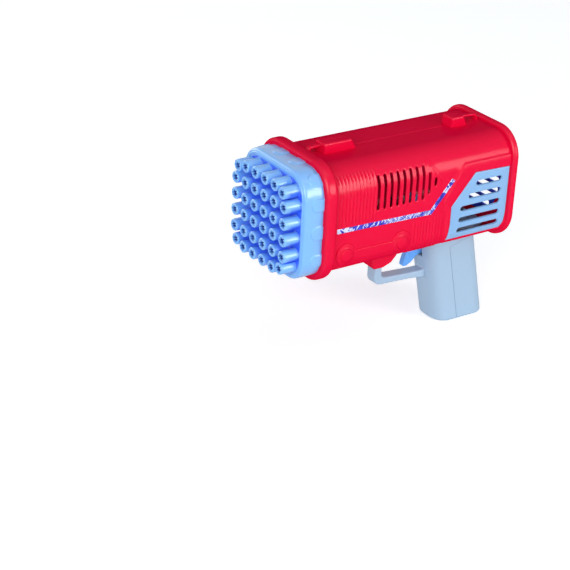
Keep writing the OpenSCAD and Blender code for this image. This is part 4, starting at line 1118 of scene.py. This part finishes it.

# return spring against the trigger's arm; its mesh gets a copy of its own, and its fixed end is kept as the
# anchor
spring = dict(start=147.3, length=17.2, radius=2.2, wire=0.38, turns=7, level=-14.2, keep=0.72)


def coilSkin(c):
    # rings of a coil: each ring is a circle of wire in the plane of the coil's radius and its axis
    t = np.linspace(0, 1, 24 * c["turns"] + 1)[:, None]
    a, b = 2 * math.pi * c["turns"] * t, circle(10)
    out = c["radius"] + c["wire"] * np.cos(b)
    d = c["start"] - c["wire"] - (c["length"] - 2 * c["wire"]) * t - c["wire"] * np.sin(b)
    return capped(place(d, out * np.sin(a), c["level"] - out * np.cos(a)))


coil = makePiece("triggerSpring", [coilSkin(spring)], "steelPart", "housing", ["trigger_spring"])
anchor = place(spring["start"] - spring["length"], 0.0, spring["level"])
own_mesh(coil)

# inner nodes keep their solids and get their finish
innerFinish = dict(
    steelPart=("door_screw", "trigger_pin", "motor_shaft", "motor_can", "mount_screws", "shell_screws",
               "battery_contacts", "battery_springs"),
    darkPart=("battery_tray", "switch_bracket", "switch_body", "fan_bulkhead", "motor_mount"),
    whitePart=("switch_plunger", "fan_rotor", "motor_end_bell"), cellJacket=("battery_cells",),
)
for finish, names in innerFinish.items():
    for name in names:
        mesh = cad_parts[name].data
        mesh.materials.clear()
        mesh.materials.append(finishes[finish])
print("inner nodes finished")

# floor, lights and world
stageSet = dict(
    floorColour=(0.9, 0.905, 0.91), floorDim=0.985, floorLift=0.46, floorHalf=2.4, floorLines=13,
    floorDrop=0.0004, worldLight=0.28, worldColour=(0.8, 0.88, 1.0, 1.0), target=(0.0, 0.0, 0.11),
    lamps=(("keyLamp", (-1.5, 2.5, 0.74), 1.35, 40.0), ("topLamp", (-0.6, 0.9, 2.7), 1.4, 10.0),
           ("fillLamp", (2.4, 1.6, 1.0), 1.8, 50.0), ("frontLamp", (1.3, 1.9, 1.25), 1.0, 8.0),
           ("backLamp", (1.0, -2.4, 0.45), 1.6, 24.0)),
)
floorMesh = bpy.data.meshes.new("floor")
floorLine = np.linspace(-stageSet["floorHalf"], stageSet["floorHalf"], stageSet["floorLines"])
floorX, floorY = np.meshgrid(floorLine, floorLine, indexing="ij")
floorPoints = np.stack([floorX, floorY, 0 * floorX - stageSet["floorDrop"]], -1).reshape(-1, 3)
floorMesh.from_pydata(floorPoints.tolist(), [], gridFaces(*floorX.shape).tolist())
floor = bpy.data.objects.new("floor", floorMesh)
bpy.context.scene.collection.objects.link(floor)
paper, paperTree, paperShader, paperVector = newMaterial("palePaper")
paperNoise = addNode(paperTree, "ShaderNodeTexNoise", {"Vector": paperVector, "Scale": 3.0, "Detail": 4.0})
paperDim = tuple(k * stageSet["floorDim"] for k in stageSet["floorColour"])
paperPath = paperTree.nodes.new("ShaderNodeLightPath")
paperLift = mathNode(paperTree, "MULTIPLY", paperPath.outputs["Is Camera Ray"], stageSet["floorLift"])
setInputs(paperTree, paperShader, {
    "Base Color": mixColour(paperTree, paperNoise.outputs["Fac"], paperDim, stageSet["floorColour"]),
    "Roughness": 0.9, "Emission Color": (1.0, 1.0, 1.0, 1.0), "Emission Strength": paperLift})
floorMesh.materials.append(paper)

for name, at, size, watts in stageSet["lamps"]:
    data = bpy.data.lights.new(name, "AREA")
    data.shape, data.size, data.energy = "SQUARE", size, watts
    back = np.array(at) - np.array(stageSet["target"])
    back /= np.linalg.norm(back)
    side = np.cross((0, 0, 1), back)
    side /= np.linalg.norm(side)
    stand(bpy.data.objects.new(name, data), side, np.cross(back, side), back, at)

# the world lights softly, and is white where it is seen directly or mirrored
world = bpy.data.worlds.new("studio")
bpy.context.scene.world = world
world.use_nodes = True
tree = world.node_tree
tree.nodes.clear()
rays = tree.nodes.new("ShaderNodeLightPath").outputs
seen = mathNode(tree, "MAXIMUM", mathNode(tree, "MAXIMUM", rays["Is Camera Ray"], rays["Is Glossy Ray"]),
                rays["Is Transmission Ray"])
softSky = {"Color": stageSet["worldColour"], "Strength": stageSet["worldLight"]}
dim = addNode(tree, "ShaderNodeBackground", softSky)
white = addNode(tree, "ShaderNodeBackground", {"Color": (1.0, 1.0, 1.0, 1.0), "Strength": 1.0})
mixer = addNode(tree, "ShaderNodeMixShader", {0: seen, 1: dim.outputs[0], 2: white.outputs[0]})
addNode(tree, "ShaderNodeOutputWorld", {"Surface": mixer.outputs[0]})
bpy.context.scene.view_settings.view_transform = "Standard"
print("stage set")
